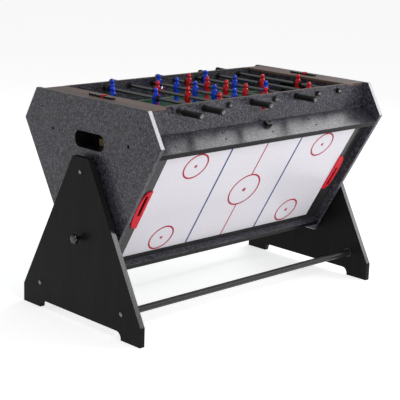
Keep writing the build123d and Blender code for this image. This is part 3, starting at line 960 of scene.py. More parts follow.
def screw_mesh(radius: float = 0.0038, height: float = 0.0016) -> bpy.types.Mesh:
    """Pan head with a cross recess.

    Args:
        radius: Radius of the head.
        height: Height of the head over its board.

    Returns:
        The head, facing along Z.
    """
    head, cross = Shape(), Shape()
    dome = [(-0.0004, radius), (0.0004, radius), (height * 0.8, radius * 0.72), (height, radius * 0.35)]
    head.lathe(Matrix(), dome, 20)
    arm, half = radius * 0.62, radius * 0.16
    outline = []
    for quarter in range(4):
        turn = Matrix.Rotation(quarter * math.pi / 2, 2)
        outline += [tuple(turn @ Vector(corner)) for corner in ((arm, -half), (arm, half), (half, half))]
    cross.slab(Matrix.Translation((0, 0, height * 0.35)), outline, height)
    objects = [add_object(label, shape.mesh(label)) for label, shape in (("head", head), ("cross", cross))]
    cut = objects[0].modifiers.new("recess", "BOOLEAN")
    cut.object = objects[1]
    cut.solver = "EXACT"
    result = applied(objects[0])
    for spare in objects:
        bpy.data.objects.remove(spare)
    return result


def islands(node: str) -> list[tuple[Vector, Vector]]:
    """Boxes of a CAD node's separate solids.

    Args:
        node: The CAD node.

    Returns:
        The lowest and highest corner of each solid, in order of Y and then X.
    """
    bm = bmesh.new()
    bm.from_mesh(frame["nodes"][node].data)
    bmesh.ops.remove_doubles(bm, verts=bm.verts, dist=0.00001)
    boxes, seen = [], set()
    for start in bm.verts:
        if start in seen:
            continue
        seen.add(start)
        stack, points = [start], []
        while stack:
            vert = stack.pop()
            points.append(vert.co.copy())
            for edge in vert.link_edges:
                other = edge.other_vert(vert)
                if other not in seen:
                    seen.add(other)
                    stack.append(other)
        low = Vector(min(point[i] for point in points) for i in range(3))
        high = Vector(max(point[i] for point in points) for i in range(3))
        boxes.append((low, high))
    bm.free()
    return sorted(boxes, key=lambda box: (round(box[0].y, 4), round(box[0].x, 4)))


# --- stand --------------------------------------------------------------------------------------
@dataclass
class Stand:
    """Two A-shaped leg panels, two stretcher tubes, their bolts and the lock knobs.

    Attributes:
        lobes: Lobes round a lock knob.
        knob_radius: Radius of a lock knob between its lobes.
        lobe: How far a lobe stands out.
        slope: Ends of a leg's sloping side, as distance from the middle and height, top end first.
        flange: Inner and outer radius and thickness of a stretcher's flanges.
    """

    lobes: int = 6
    knob_radius: float = 0.018
    lobe: float = 0.0018
    slope: tuple[float, float, float, float] = (0.045, 0.634, 0.345, 0.072)
    flange: Point = (0.0131, 0.02, 0.003)

    def build(self) -> None:
        """Builds and dresses the stand."""
        for side in ("left", "right"):
            rounded_board(f"{side}_leg_panel", SATIN_BLACK, "stand", 0.0014)
            self.lock_knob(side)
        self.leg_edges()
        self.flanges()
        dress("stretcher_tubes", POWDER)
        dress("stand_bolts", STEEL)

    def flanges(self) -> None:
        """Puts a flange round each end of the stretcher tubes."""
        flanges = Shape()
        inner, outer, thickness = self.flange
        for low, high in islands("stretcher_tubes"):
            for end, sign in ((low.x, 1), (high.x, -1)):
                place = axis_place((end, (low.y + high.y) / 2, (low.z + high.z) / 2), (sign, 0, 0))
                section = [(0.0001, inner), (0.0001, outer), (thickness - 0.001, outer)]
                section += [(thickness, outer - 0.001), (thickness, inner)]
                flanges.ring(place, section, 40)
        flanges.piece("stretcher_flanges", POWDER, "stand")

    def leg_edges(self) -> None:
        """Glues gloss edging onto the sloping sides of the legs."""
        top_y, top_z, foot_y, foot_z = self.slope
        run = Vector((0, foot_y - top_y, foot_z - top_z))
        bands = Shape()
        for name in ("left_leg_panel", "right_leg_panel"):
            low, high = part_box(name)
            for side in (-1, 1):
                along = Vector((0, side * run.y, run.z)).normalized()
                across = Vector((side, 0, 0))
                turn = Matrix((across, along, across.cross(along))).transposed().to_4x4()
                middle = Vector(((low.x + high.x) / 2, side * (top_y + foot_y) / 2, (top_z + foot_z) / 2))
                half = (high.x - low.x) / 2 - 0.0012
                outline = box_outline(-half, half, 0.002 - run.length / 2, run.length / 2 - 0.002)
                outward = across.cross(along).dot(Vector((0, side, 0)))
                lift = Matrix.Translation((0, 0, 0.0 if outward > 0 else -0.0004))
                bands.slab(Matrix.Translation(middle) @ turn @ lift, outline, 0.0004)
        bands.piece("leg_edge_bands", GLOSS_EDGING, "stand")

    def lobed_ring(self, place: Matrix, along: float, share: float, segments: int = 72) -> Ring:
        """One ring of the knob, at a distance along it and with a share of its full reach."""
        ring = []
        for i in range(segments):
            turn = 2 * math.pi * i / segments
            reach = self.knob_radius + self.lobe * math.cos(self.lobes * turn)
            radius = share * reach
            ring.append(place @ Vector((radius * math.cos(turn), radius * math.sin(turn), along)))
        return ring

    def lock_knob(self, side: str) -> None:
        """Makes the lobed knob and its steel pin on one side."""
        low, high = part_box(f"{side}_lock_knob")
        sign = -1 if side == "left" else 1
        middle = (low + high) / 2
        tip, end = (high.x, low.x) if sign < 0 else (low.x, high.x)
        depth = 0.018
        place = axis_place((end - sign * depth, middle.y, middle.z), (sign, 0, 0))
        knob = Shape()
        profile = [(0, 0.72), (0.0012, 0.86), (0.004, 0.96), (0.0085, 1.0), (0.013, 0.97), (0.0158, 0.88)]
        profile += [(0.0174, 0.7), (depth, 0.4)]
        knob.loft([self.lobed_ring(place, along, share) for along, share in profile])
        knob.piece(f"{side}_knob_head", GLOSS_BLACK, f"{side}_lock_knob", [f"{side}_lock_knob"], smooth=60)
        pin = Shape()
        length = abs(end - tip) - depth
        place = axis_place((tip, middle.y, middle.z), (sign, 0, 0))
        hub = length - 0.0035
        steps = [(0, 0.0042), (0.0018, 0.006), (hub, 0.006), (hub + 0.0001, 0.009), (length + 0.001, 0.009)]
        pin.lathe(place, steps, 40)
        pin.piece(f"{side}_knob_pin", STEEL, f"{side}_lock_knob")


# --- drum shell ---------------------------------------------------------------------------------
@dataclass
class DrumShell:
    """End panels, long walls and edging of the drum, and the screws that hold them.

    Attributes:
        drum: Where the faces are.
        wall_screws: Places of the screws in a long wall, as (along the table, out from the axis).
        panel_screws: Places of the screws in an end panel, as (across the face, out from the axis).
        hand_slot: Height over the axis, length, height and corner radius of the hand slots.
        walls: Thickness of each game's long walls.
        banding: Thickness of an edge band.
        chute_block: Depth behind the end panel, bottom and top of the raw block in a ball return.
        band_half: Half length of the edge bands on soccer's walls.
    """

    drum: Drum
    wall_screws: Sequence[tuple[float, float]] = (
        (-0.5, 0.231),
        (-0.25, 0.231),
        (0.0, 0.231),
        (0.25, 0.231),
        (0.5, 0.231),
        (-0.24, 0.196),
        (0.24, 0.196),
    )
    panel_screws: Sequence[tuple[float, float]] = ((-0.279, 0.198), (0.279, 0.198))
    hand_slot: tuple[float, float, float, float] = (0.110, 0.166, 0.062, 0.026)
    walls: tuple[float, float, float] = (0.015, 0.022, 0.022)
    banding: float = 0.0004
    chute_block: Point = (0.0735, 0.078, 0.104)
    band_half: float = 0.4979

    def build(self) -> None:
        """Builds and dresses the shell."""
        for node in ("left_end_panel", "right_end_panel", "soccer_walls", "hockey_rails", "pool_rails"):
            rounded_board(node, LAMINATE, "drum")
        rounded_board("edge_trims", EDGING, "drum", 0.0005)
        self.edge_bands()
        self.slot_bands()
        self.screws()

    def edge_bands(self) -> None:
        """Glues edging onto the tops of the long walls: brown on soccer, black on the other two."""
        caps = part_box("soccer_end_caps")[1].x - self.drum.inner_x
        for game, thickness in zip(Game, self.walls):
            place = self.drum.matrix(game, self.drum.rim)
            brown = game is Game.SOCCER
            half = self.band_half + caps if brown else self.drum.inner_x - 0.0002
            bands = Shape()
            for side in (-1, 1):
                outer, inner = self.drum.wall_y - 0.0002, self.drum.wall_y - thickness + 0.0002
                low, high = sorted((side * outer, side * inner))
                bands.slab(place, box_outline(-half, half, low, high), self.banding)
            finish = BROWN_EDGING if brown else BLACK_EDGING
            bands.piece(f"{game.name.lower()}_edge_bands", finish, "drum")

    def slot_bands(self) -> None:
        """Lines the cut edge of each hand slot, and puts the raw chute block behind it."""
        height, length, width, radius = self.hand_slot
        bands = Shape()
        for side in (-1, 1):
            start = Matrix.Translation((side * (self.drum.inner_x + 0.001), 0, 0))
            place = self.drum.matrix(Game.SOCCER) @ start @ Matrix.Rotation(side * math.pi / 2, 4, "Y")
            outer = rounded_outline(width + 0.0002, length + 0.0002, radius + 0.0001, -side * height)
            inner = rounded_outline(width - 0.0008, length - 0.0008, radius - 0.0004, -side * height)
            bands.band(place, outer, inner, self.drum.outer_x - self.drum.inner_x - 0.002)
        bands.piece("hand_slot_edges", BLACK_EDGING, "drum")
        blocks = Shape()
        depth, low, high = self.chute_block
        for side in (-1, 1):
            start = Matrix.Translation((side * (self.drum.inner_x - depth), 0, 0))
            back, front = sorted((0.0, side * 0.012))
            outline = box_outline(back, front, -0.088, 0.036)
            blocks.slab(self.drum.matrix(Game.SOCCER, low) @ start, outline, high - low)
        blocks.piece("ball_chute_blocks", RAW_BOARD, "drum")

    def screws(self) -> None:
        """Puts the screws into the walls of hockey and pool and into the end panels."""
        scatter = Scatter("drum_screws", ZINC, "drum")
        for game in (Game.HOCKEY, Game.POOL):
            for side in (-1, 1):
                across = self.drum.matrix(game) @ Matrix.Translation((0, side * self.drum.wall_y, 0))
                place = across @ Matrix.Rotation(-side * math.pi / 2, 4, "X")
                for x, out in self.wall_screws:
                    scatter.put(place, x, -side * out)
        for side in (-1, 1):
            for game in Game:
                end = self.drum.matrix(game) @ Matrix.Translation((side * self.drum.outer_x, 0, 0))
                place = end @ Matrix.Rotation(side * math.pi / 2, 4, "Y")
                for across, out in self.panel_screws:
                    scatter.put(place, -side * out, across)
        scatter.grow(screw_mesh())


# --- table soccer -------------------------------------------------------------------------------
@dataclass
class SoccerTop:
    """Pitch, end caps, score counters and ball returns of the table soccer face.

    Attributes:
        drum: Where the faces are.
        line: Width of a printed line.
        ink: Thickness of a printed line.
        scale_step: Distance between two score marks.
        liner: Radii of a serve hole's liner: inside, outside and over its flange.
        serve_drop: How far the serve holes are below the top of the walls.
    """

    drum: Drum
    line: float = 0.004
    ink: float = 0.0002
    scale_step: float = 0.0118
    liner: Point = (0.0102, 0.0119, 0.0142)
    serve_drop: float = 0.0475

    def build(self) -> None:
        """Builds and dresses the face."""
        rounded_board("soccer_end_caps", WOOD_CAP, "drum", 0.001)
        dress("soccer_pitch", PITCH)
        dress("ball_returns", BLACK)
        self.lines()
        self.counters()
        self.serve_liners()

    def lines(self) -> None:
        """Prints the white lines of the pitch."""
        _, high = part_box("soccer_pitch")
        place = self.drum.matrix(Game.SOCCER, high.z - self.drum.axis_z)
        half_x, half_y, width = high.x - 0.012, high.y - 0.012, self.line
        print_work = Shape()
        boxes = [(half_x, half_y, 0.0), (0.16, 0.17, 1.0), (0.07, 0.125, 1.0)]
        for length, half, at_end in boxes:
            for side in (-1, 1) if at_end else (1,):
                x0, x1 = (side * (half_x - length), side * half_x) if at_end else (-length, length)
                x0, x1 = min(x0, x1), max(x0, x1)
                outer = box_outline(x0, x1, -half, half)
                inner = box_outline(x0 + width, x1 - width, width - half, half - width)
                print_work.band(place, outer, inner, self.ink * (1.0 + 0.1 * at_end))
        print_work.slab(place, box_outline(-width / 2, width / 2, -half_y, half_y), self.ink * 1.2)
        print_work.band(place, circle(0.085), circle(0.085 - width), self.ink * 1.3)
        print_work.slab(place, circle(0.007, segments=24), self.ink * 1.4)
        print_work.piece("soccer_line_print", LINE_WHITE, "drum")

    def counters(self) -> None:
        """Makes the score bars, their marks and the red sliders."""
        rounded_board("score_scales", BLACK, "drum", 0.0012)
        marks = Scatter("score_marks", LINE_WHITE, "drum", twist=0.0)
        for low, high in islands("score_scales"):
            place = Matrix.Translation(((low.x + high.x) / 2, 0, high.z))
            for i in range(11):
                marks.put(place, 0.0, (i - 5) * self.scale_step)
        mark = Shape()
        outline = box_outline(-0.0055, 0.0055, -0.0006, 0.0006)
        mark.slab(Matrix.Translation((0, 0, -0.0002)), outline, 0.0004)
        marks.grow(mark.mesh("score_mark"))
        for side in ("left", "right"):
            rounded_board(f"{side}_score_slider", RED, f"{side}_score_slider", 0.0006)

    def serve_liners(self) -> None:
        """Makes the flanged liner of each serve hole: red plastic, its red darkened as painted shade inside
        the hole.
        """
        inner, outer, flange = self.liner
        wall, depth = self.drum.wall_y, 0.014
        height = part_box("soccer_walls")[1].z - self.serve_drop
        liners = Shape()
        for side in (-1, 1):
            place = axis_place((0, side * (wall - depth), height), (0, side, 0))
            section = [(0, inner), (0, outer), (depth, outer), (depth, flange), (depth + 0.0008, flange)]
            section += [(depth + 0.0016, flange - 0.001), (depth + 0.0016, inner + 0.001)]
            section.append((depth + 0.001, inner))
            liners.ring(place, section, 40)
        liners.piece("serve_hole_liners", SHADED_RED_LINER, "drum")


# --- rods ---------------------------------------------------------------------------------------
@dataclass
class Player:
    """A moulded player, facing +X, on a rod along Y through the origin.

    Attributes:
        rings: Height, half depth, half width and forward shift of each ring of the body, in mm.
        voxel: Size of the cells that the parts are fused with.
    """

    rings: Sequence[tuple[float, float, float, float]] = (
        (-59.5, 10.4, 8.4, 1.0),
        (-58.5, 11.2, 9.3, 1.0),
        (-50, 11.0, 9.4, 1.0),
        (-47.5, 9.0, 8.6, 0.5),
        (-38, 7.2, 7.8, 0.0),
        (-28, 7.4, 8.4, 0.0),
        (-20, 8.4, 9.6, 0.0),
        (-14, 9.8, 10.8, 0.0),
        (-6, 11.0, 11.4, 0.0),
        (0, 11.4, 11.4, 0.0),
        (6, 11.0, 11.2, 0.2),
        (12, 9.9, 11.6, 0.3),
        (17, 8.3, 12.2, 0.2),
        (20, 6.6, 10.6, 0.0),
        (22, 5.0, 6.4, 0.0),
        (25, 4.6, 5.0, 0.0),
    )
    voxel: float = 0.0012

    def mesh(self) -> bpy.types.Mesh:
        """Fuses the body, head, arms and sleeve into one smooth mesh."""
        parts = Shape()
        body = []
        for z, half_x, half_y, shift in self.rings:
            outline = squircle(half_x * MM, half_y * MM, 28)
            body.append([Vector((x + shift * MM, y, z * MM)) for x, y in outline])
        parts.loft(body)
        self.ball(parts, (0.6, 0, 30.6), (9.3, 8.4, 9.7))
        self.ball(parts, (-0.9, 0, 32.4), (8.9, 8.8, 7.9))
        self.ball(parts, (9.8, 0, 30.4), (1.7, 1.4, 1.8))
        for side in (-1, 1):
            self.arm(parts, side)
            self.ball(parts, (0, side * 8.6, 30.4), (1.9, 1.3, 2.4))
        sleeve = [(-0.0115, 0.0084), (-0.0107, 0.009), (0.0107, 0.009), (0.0115, 0.0084)]
        parts.lathe(axis_place((0, 0, 0), (0, 1, 0)), sleeve, 28)
        rough = add_object("player_parts", parts.mesh("player_parts"))
        fuse = rough.modifiers.new("fuse", "REMESH")
        fuse.mode = "VOXEL"
        fuse.voxel_size = self.voxel
        soften = rough.modifiers.new("soften", "SMOOTH")
        soften.factor, soften.iterations = 0.5, 3
        result = applied(rough)
        bpy.data.objects.remove(rough)
        return result

    @staticmethod
    def ball(parts: Shape, centre: Point, radii: Point) -> None:
        """Adds an ellipsoid, in mm."""
        place = Matrix.Translation(Vector(centre) * MM) @ Matrix.Diagonal((*(Vector(radii) * MM), 1))
        steps = [(-math.cos(math.pi * i / 10), math.sin(math.pi * i / 10) or 0.05) for i in range(11)]
        parts.loft([round_ring(place, along, max(radius, 0.05), 20) for along, radius in steps])

    @staticmethod
    def arm(parts: Shape, side: int) -> None:
        """Adds an arm from the shoulder to a hand on the hip."""
        joints = [(0.4, 10.2, 17.5, 3.4), (0.8, 10.8, 12.8, 3.0), (3.2, 8.8, 4.0, 2.7)]
        joints += [(7.4, 8.2, -3.0, 2.7), (8.6, 7.2, -7.0, 3.0)]
        rings = []
        for x, y, z, radius in joints:
            ring = [Vector((x + a, side * y + b, z)) * MM for a, b in circle(radius, segments=12)]
            rings.append(ring)
        parts.loft(rings)


@dataclass
class Rods:
    """Eight telescoping rods with players, grips, stops and bushings.

    Attributes:
        count: Number of rods.
        flutes: Flutes round a grip.
        flute_depth: Depth of a flute.
        player: The player that every rod carries.
    """

    count: int = 8
    flutes: int = 14
    flute_depth: float = 0.0006
    player: Player = field(default_factory=Player)

    def build(self) -> None:
        """Builds and dresses every rod."""
        rounded_board("rod_bushings", BLACK, "drum", 0.0005)
        man = self.player.mesh()
        for number in range(1, self.count + 1):
            dress(f"rod_{number}_inner", STEEL)
            dress(f"rod_{number}_tube", STEEL)
            solids = islands(f"rod_{number}_grip_and_stops")
            grip = max(solids, key=lambda box: box[1].y - box[0].y)
            side = 1 if grip[0].y > 0 else -1
            self.team(number, man, RED if side > 0 else BLUE, side)
            self.rubbers(number, grip, [box for box in solids if box is not grip], side)

    def team(self, number: int, man: bpy.types.Mesh, finish: Finish, side: int) -> None:
        """Stands the players of one rod.

        Args:
            number: The rod.
            man: The player's mesh.
            finish: The team's colour.
            side: Side of the rod's grip, which the team's direction follows.
        """
        players = Shape()
        inner_low, inner_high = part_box(f"rod_{number}_inner")
        height = (inner_low.z + inner_high.z) / 2
        turn = Matrix.Rotation(0.0 if side < 0 else math.pi, 4, "Z")
        for low, high in islands(f"rod_{number}_players"):
            start = len(players.bm.verts)
            players.bm.from_mesh(man)
            players.bm.verts.ensure_lookup_table()
            x, y = (inner_low.x + inner_high.x) / 2, (low.y + high.y) / 2
            place = Matrix.Translation((x, y, height)) @ turn
            bmesh.ops.transform(players.bm, matrix=place, verts=players.bm.verts[start:])
        players.piece(f"rod_{number}_team", finish, f"rod_{number}", [f"rod_{number}_players"], smooth=180)

    def rubbers(self, number: int, grip: tuple, stops: Sequence[tuple], side: int) -> None:
        """Makes the fluted grip and the two stop rings of one rod.

        Args:
            number: The rod.
            grip: Box of the grip.
            stops: Boxes of the stops.
            side: Side of the grip.
        """
        rubber = Shape()
        low, high = grip
        x, z = (low.x + high.x) / 2, (low.z + high.z) / 2
        radius, length = (high.x - low.x) / 2, high.y - low.y
        place = axis_place((x, low.y if side > 0 else high.y, z), (0, side, 0))
        profile = [(0.0, 0.78, 0), (0.001, 0.88, 0), (0.006, 0.9, 0), (0.007, 0.99, 0), (0.0085, 1.0, 0)]
        profile += [(0.013, 1.0, 0), (0.015, 0.96, 0.5), (0.03, 0.95, 1), (0.5, 0.885, 1), (0.82, 0.93, 1)]
        profile += [(0.93, 0.985, 0.6), (0.96, 1.0, 0), (0.985, 0.985, 0), (1.0, 0.86, 0)]
        rings = []
        for along, share, fluted in profile:
            distance = along if along < 0.029 else along * length
            rings.append(self.fluted_ring(place, distance, share * radius, fluted))
        rings.insert(0, round_ring(place, 0.0, 0.0068, 84))
        rings.append(round_ring(place, length, 0.0092, 84))
        rubber.loft(rings)
        for stop_low, stop_high in stops:
            width = stop_high.y - stop_low.y
            reach = (stop_high.x - stop_low.x) / 2
            base = axis_place((x, stop_low.y, z), (0, 1, 0))
            section = [(0, 0.0066), (0, reach - 0.001), (0.001, reach), (width * 0.35, reach)]
            section += [(width * 0.42, reach - 0.0008), (width * 0.58, reach - 0.0008)]
            section += [(width * 0.65, reach), (width - 0.001, reach)]
            section += [(width, reach - 0.001), (width, 0.0066)]
            rubber.ring(base, section, 36)
        rubber.piece(f"rod_{number}_rubbers", RUBBER, f"rod_{number}", [f"rod_{number}_grip_and_stops"], 40)

    def fluted_ring(self, place: Matrix, along: float, radius: float, fluted: float) -> Ring:
        """One ring of a grip, with its flutes at a share of their full depth."""
        ring = []
        for i in range(84):
            turn = 2 * math.pi * i / 84
            wave = 0.5 + 0.5 * math.cos(self.flutes * turn)
            reach = radius - fluted * self.flute_depth * (1 - wave) ** 2
            ring.append(place @ Vector((reach * math.cos(turn), reach * math.sin(turn), along)))
        return ring


# --- air hockey ---------------------------------------------------------------------------------
@dataclass
class HockeyFace:
    """Playfield, printed lines, goals, blower and switch of the air hockey face.

    Attributes:
        drum: Where the faces are.
        white: Half length and half width of the white field inside its dark border.
        zone_x: Distance of the blue lines from the middle.
        spot: Place of a face-off spot, from the middle.
        centre_radius: Radius of the centre circle.
        spot_radius: Radius of a face-off circle.
        line: Width of a red line.
        blue: Width of a blue line.
        ink: Thickness of a printed line.
        hole_pitch: Distance between air holes.
        goal: Straight side, bulge, half width and power of the rounding of a goal plate.
        puck_slot: Distance from the middle, offset, width, length, corner radius and depth of a slot.
    """

    drum: Drum
    white: tuple[float, float] = (0.520, 0.240)
    zone_x: float = 0.193
    spot: tuple[float, float] = (0.3515, 0.177)
    centre_radius: float = 0.08
    spot_radius: float = 0.06
    line: float = 0.0074
    blue: float = 0.008
    ink: float = 0.0002
    hole_pitch: float = 0.0254
    goal: tuple[float, float, float, float] = (0.520, 0.042, 0.090, 0.7)
    puck_slot: tuple[float, float, float, float, float, float] = (0.540, 0.022, 0.014, 0.096, 0.004, 0.032)

    def build(self) -> None:
        """Builds and dresses the face."""
        field_print = PrintedField(
            "white_playfield",
            ICE_WHITE,
            slot="ice",
            roughness=0.22,
            wander=0.06,
            dust=0.02,
            bump=0.000005,
            grit=60.0,
            specular=0.3,
            mottle=0.02,
            half=self.white,
            turn=Game.HOCKEY.value,
            axis_z=self.drum.axis_z,
        )
        dress("hockey_playfield", field_print)
        dress("hockey_blower", BLACK)
        rounded_board("switch_box", BLACK, "drum", 0.001)
        rounded_board("switch_rocker", BLACK, "switch_rocker", 0.0005)
        self.lines()
        self.air_holes()
        self.goals()

    def surface(self) -> Matrix:
        """Frame on top of the playfield."""
        return top_of(self.drum, Game.HOCKEY, "hockey_playfield")

    def lines(self) -> None:
        """Prints the red and blue lines."""
        place = self.surface()
        half_y = self.white[1]
        blue, red = Shape(), Shape()
        for side in (-1, 1):
            x = side * self.zone_x
            blue.slab(place, box_outline(x - self.blue / 2, x + self.blue / 2, -half_y, half_y), self.ink)
            low, high = sorted((side * half_y, side * self.centre_radius))
            red.slab(place, box_outline(-self.line * 0.4, self.line * 0.4, low, high), self.ink)
        spots = [(0.0, 0.0, self.centre_radius, 0.009)]
        for sx in (-1, 1):
            spots += [(sx * self.spot[0], sy * self.spot[1], self.spot_radius, 0.007) for sy in (-1, 1)]
        for x, y, radius, dot in spots:
            red.band(place, circle(radius, x, y, 96), circle(radius - self.line, x, y, 96), self.ink * 1.2)
            red.slab(place, circle(dot, x, y, 32), self.ink * 1.4)
        blue.piece("hockey_blue_print", LINE_BLUE, "drum")
        red.piece("hockey_red_print", LINE_RED, "drum")

    def air_holes(self) -> None:
        """Puts the grid of air holes into the playfield: dark discs that are painted shade for the inside
        of each hole.
        """
        holes = Scatter("hockey_air_holes", AIR_HOLE_SHADE, "drum")
        place = self.surface()
        columns, rows = int(self.white[0] / self.hole_pitch), int(self.white[1] / self.hole_pitch)
        for column in range(-columns, columns):
            for row in range(-rows, rows):
                holes.put(place, (column + 0.5) * self.hole_pitch, (row + 0.5) * self.hole_pitch)
        hole = Shape()
        hole.slab(Matrix(), circle(0.0007, segments=8), self.ink * 1.6)
        holes.grow(hole.mesh("air_hole"))

    def goals(self) -> None:
        """Makes the red goal plates and the black puck trays under them; the trays' black is painted shade
        inside the slots.
        """
        plates, trays = Shape(), Shape()
        slot_x, slot_y, width, length, radius, depth = self.puck_slot
        for side in (-1, 1):
            surface = self.surface() @ Matrix.Translation((0, -side * slot_y, 0))
            x = side * slot_x
            slot = rounded_outline(width, length, radius, x)
            outline = [(a, b + side * slot_y) for a, b in self.goal_outline(side)]
            plate, hole = matched(outline, slot, (x, 0.0))
            plates.band(surface @ Matrix.Translation((0, 0, 0.0002)), plate, hole, 0.005, 0.0012)
            bottom = surface @ Matrix.Translation((0, 0, -depth))
            trays.band(bottom, rounded_outline(width + 0.006, length + 0.006, 0.006, x), slot, depth)
            trays.slab(bottom, rounded_outline(width - 0.0002, length - 0.0002, radius, x), 0.003)
        plates.piece("hockey_goal_plates", GOAL_RED, "drum", ["hockey_goals"], smooth=30)
        # The trays' black is painted shade inside the puck slots.
        trays.piece("hockey_puck_trays", BLACK, "drum", smooth=30)

    def goal_outline(self, side: int) -> list[tuple[float, float]]:
        """Outline of a goal plate: straight on the field side, bowed towards the end wall."""
        flat, bulge, half, power = self.goal
        path = []
        for i in range(-20, 21):
            turn = math.pi / 2 * i / 20
            across = math.copysign(abs(math.sin(turn)) ** power, turn)
            path.append((side * (flat + bulge * abs(math.cos(turn)) ** power), half * across))
        return path if side > 0 else path[::-1]


# --- bumper pool --------------------------------------------------------------------------------
@dataclass
class PoolFace:
    """Bed, cushions, pockets, bumper posts and rail sights of the pool face.

    Attributes:
        drum: Where the faces are.
        post_height: Height of a bumper post.
        sight_step: Distance between two rail sights.
        sights: Sights each side of the middle of a rail.
    """

    drum: Drum
    post_height: float = 0.024
    sight_step: float = 0.14
    sights: int = 3

    def build(self) -> None:
        """Builds and dresses the face."""
        dress("pool_bed", CLOTH)
        rounded_board("pool_cushions", CLOTH, "drum", 0.002)
        dress("pool_pockets", BLACK)
        self.pocket_rims()
        self.posts()
        self.rail_sights()

    def surface(self) -> Matrix:
        """Frame on top of the bed."""
        return top_of(self.drum, Game.POOL, "pool_bed")

    def pocket_rims(self) -> None:
        """Makes the white rim round each pocket."""
        rims = Shape()
        for low, high in islands("pool_pockets"):
            place = self.surface() @ Matrix.Translation(((low.x + high.x) / 2, 0, 0))
            section = [(0.0001, 0.0255), (0.0013, 0.0262), (0.0016, 0.028), (0.0013, 0.0305)]
            section.append((0.0001, 0.0315))
            rims.ring(place, section, 48)
        rims.piece("pool_pocket_rims", WHITE_RUBBER, "drum")

    def posts(self) -> None:
        """Makes the bumper posts and their rubber rings, red at one end and white at the other."""
        cores = Scatter("pool_bumper_posts", BLACK, "drum", ["pool_bumpers"])
        red = Scatter("pool_bumper_rings_red", RED_RUBBER, "drum")
        white = Scatter("pool_bumper_rings_white", WHITE_RUBBER, "drum")
        flat = self.surface().inverted()
        for low, high in islands("pool_bumpers"):
            local = flat @ ((low + high) / 2)
            cores.put(self.surface(), local.x, local.y)
            (red if local.x + local.y > 0 else white).put(self.surface(), local.x, local.y)
        core, ring = Shape(), Shape()
        top = self.post_height
        profile = [(0.0001, 0.0105), (0.0015, 0.0105), (0.003, 0.008), (0.019, 0.008), (0.0195, 0.0095)]
        profile += [(0.0215, 0.0092), (0.0233, 0.0066), (top, 0.003)]
        core.lathe(Matrix(), profile, 28)
        section = []
        for i in range(12):
            turn = 2 * math.pi * i / 12
            section.append((0.012 + 0.006 * math.sin(turn), 0.0108 + 0.0032 * math.cos(turn)))
        ring.ring(Matrix(), section, 32)
        cores.grow(core.mesh("bumper_core"))
        ring_mesh = ring.mesh("bumper_ring")
        red.grow(ring_mesh)
        white.grow(ring_mesh)

    def rail_sights(self) -> None:
        """Puts the sights into the tops of the long rails."""
        dots = Scatter("pool_rail_sights", LINE_WHITE, "drum")
        place = self.drum.matrix(Game.POOL, self.drum.rim)
        for side in (-1, 1):
            for i in range(-self.sights, self.sights + 1):
                dots.put(place, i * self.sight_step, side * (self.drum.wall_y - 0.011))
        dot = Shape()
        dot.slab(Matrix(), circle(0.0035, segments=20), 0.0003)
        dots.grow(dot.mesh("rail_sight"))


# --- studio -------------------------------------------------------------------------------------
@dataclass(frozen=True)
class Softbox:
    """A square area light aimed at the table.

    Attributes:
        name: Its name.
        place: Where it is.
        size: Its side.
        power: Its power in watts.
        colour: Its colour.
    """

    name: str
    place: Point
    size: float
    power: float
    colour: Rgb = (1.0, 1.0, 1.0)

    def light(self, target: Point) -> None:
        """Makes the light, aimed at a target."""
        data = bpy.data.lights.new(self.name, "AREA")
        data.size, data.energy, data.color = self.size, self.power, self.colour
        lamp = add_object(self.name, data)
        lamp.location = self.place
        lamp.rotation_euler = (Vector(target) - Vector(self.place)).to_track_quat("-Z", "Y").to_euler()


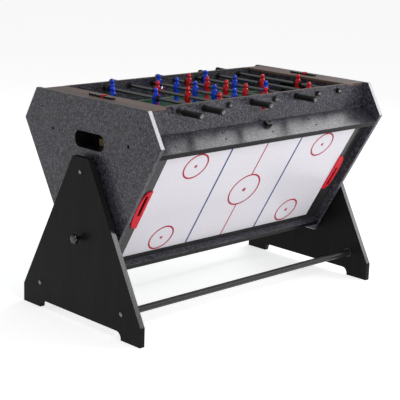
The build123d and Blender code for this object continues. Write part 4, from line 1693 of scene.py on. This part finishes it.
@dataclass
class Studio:
    """Pale floor, soft lights, bright surroundings and the camera.

    Attributes:
        softboxes: The lights.
        target: What the lights aim at.
        eye: Where the camera is.
        azimuth: Direction of the camera from the table, in degrees.
        elevation: Its angle over the horizon, in degrees.
        roll: Its roll, in degrees.
        lens: Its focal length in mm.
        surround: Brightness of the surroundings.
        glow: Brightness that the floor adds of its own.
    """

    softboxes: Sequence[Softbox] = (
        Softbox("sheen", (2.6, 0.55, 2.9), 1.5, 40.0),
        Softbox("key", (-0.8, -3.9, 2.3), 2.0, 62.0),
        Softbox("rim", (3.0, -2.8, 2.2), 1.8, 50.0),
    )
    target: Point = (0.0, 0.0, 0.5)
    eye: Point = (-3.3795, -3.4053, 1.566)
    azimuth: float = -44.475
    elevation: float = 13.922
    roll: float = 1.896
    lens: float = 110.33
    surround: float = 0.4
    glow: float = 0.62

    def build(self) -> None:
        """Makes the floor, the lights and the camera."""
        self.floor()
        for softbox in self.softboxes:
            softbox.light(self.target)
        world = bpy.data.worlds.new("surroundings")
        world.use_nodes = True
        background = world.node_tree.nodes["Background"]
        background.inputs["Color"].default_value = (1.0, 1.0, 1.0, 1.0)
        background.inputs["Strength"].default_value = self.surround
        bpy.context.scene.world = world
        bpy.context.scene.view_settings.view_transform = "Standard"
        self.camera()

    def floor(self) -> None:
        """Makes the floor."""
        ground = Shape()
        ground.slab(Matrix.Translation((0, 0, -0.02)), box_outline(-40, 40, -40, 40), 0.0199)
        mesh = ground.mesh("floor")
        material = FLOOR.material()
        shader = material.node_tree.nodes["Principled BSDF"]
        shader.inputs["Emission Color"].default_value = (1, 1, 1, 1)
        shader.inputs["Emission Strength"].default_value = self.glow
        mesh.materials.append(material)
        floor = add_object("floor", mesh)
        floor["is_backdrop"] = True

    def camera(self) -> None:
        """Makes the camera."""
        azimuth, elevation = math.radians(self.azimuth), math.radians(self.elevation)
        back = Vector(
            (
                math.sin(azimuth) * math.cos(elevation),
                -math.cos(azimuth) * math.cos(elevation),
                math.sin(elevation),
            )
        )
        level = Vector((0, 0, 1)).cross(back).normalized()
        right = Matrix.Rotation(math.radians(self.roll), 3, back) @ level
        turn = Matrix((right, back.cross(right), back)).transposed()
        camera = add_object("camera", bpy.data.cameras.new("camera"))
        camera.data.lens, camera.data.sensor_width = self.lens, 36.0
        camera.data.clip_start, camera.data.clip_end = 0.1, 120.0
        camera.matrix_world = Matrix.Translation(self.eye) @ turn.to_4x4()
        bpy.context.scene.camera = camera


def main() -> None:
    """Builds the table and the studio."""
    logging.basicConfig(level=logging.INFO, format="%(name)s %(message)s")
    drum = Drum.from_frame()
    faces = (SoccerTop(drum), Rods(), HockeyFace(drum), PoolFace(drum))
    for assembly in (Stand(), DrumShell(drum), *faces, Studio()):
        LOG.info("building %s", type(assembly).__name__)
        assembly.build()
    sizes = {"cad": CAD_BOX, "visual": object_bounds()}
    {label: [list(corner) for corner in box] for label, box in sizes.items()}


if __name__ == "__main__":
    main()
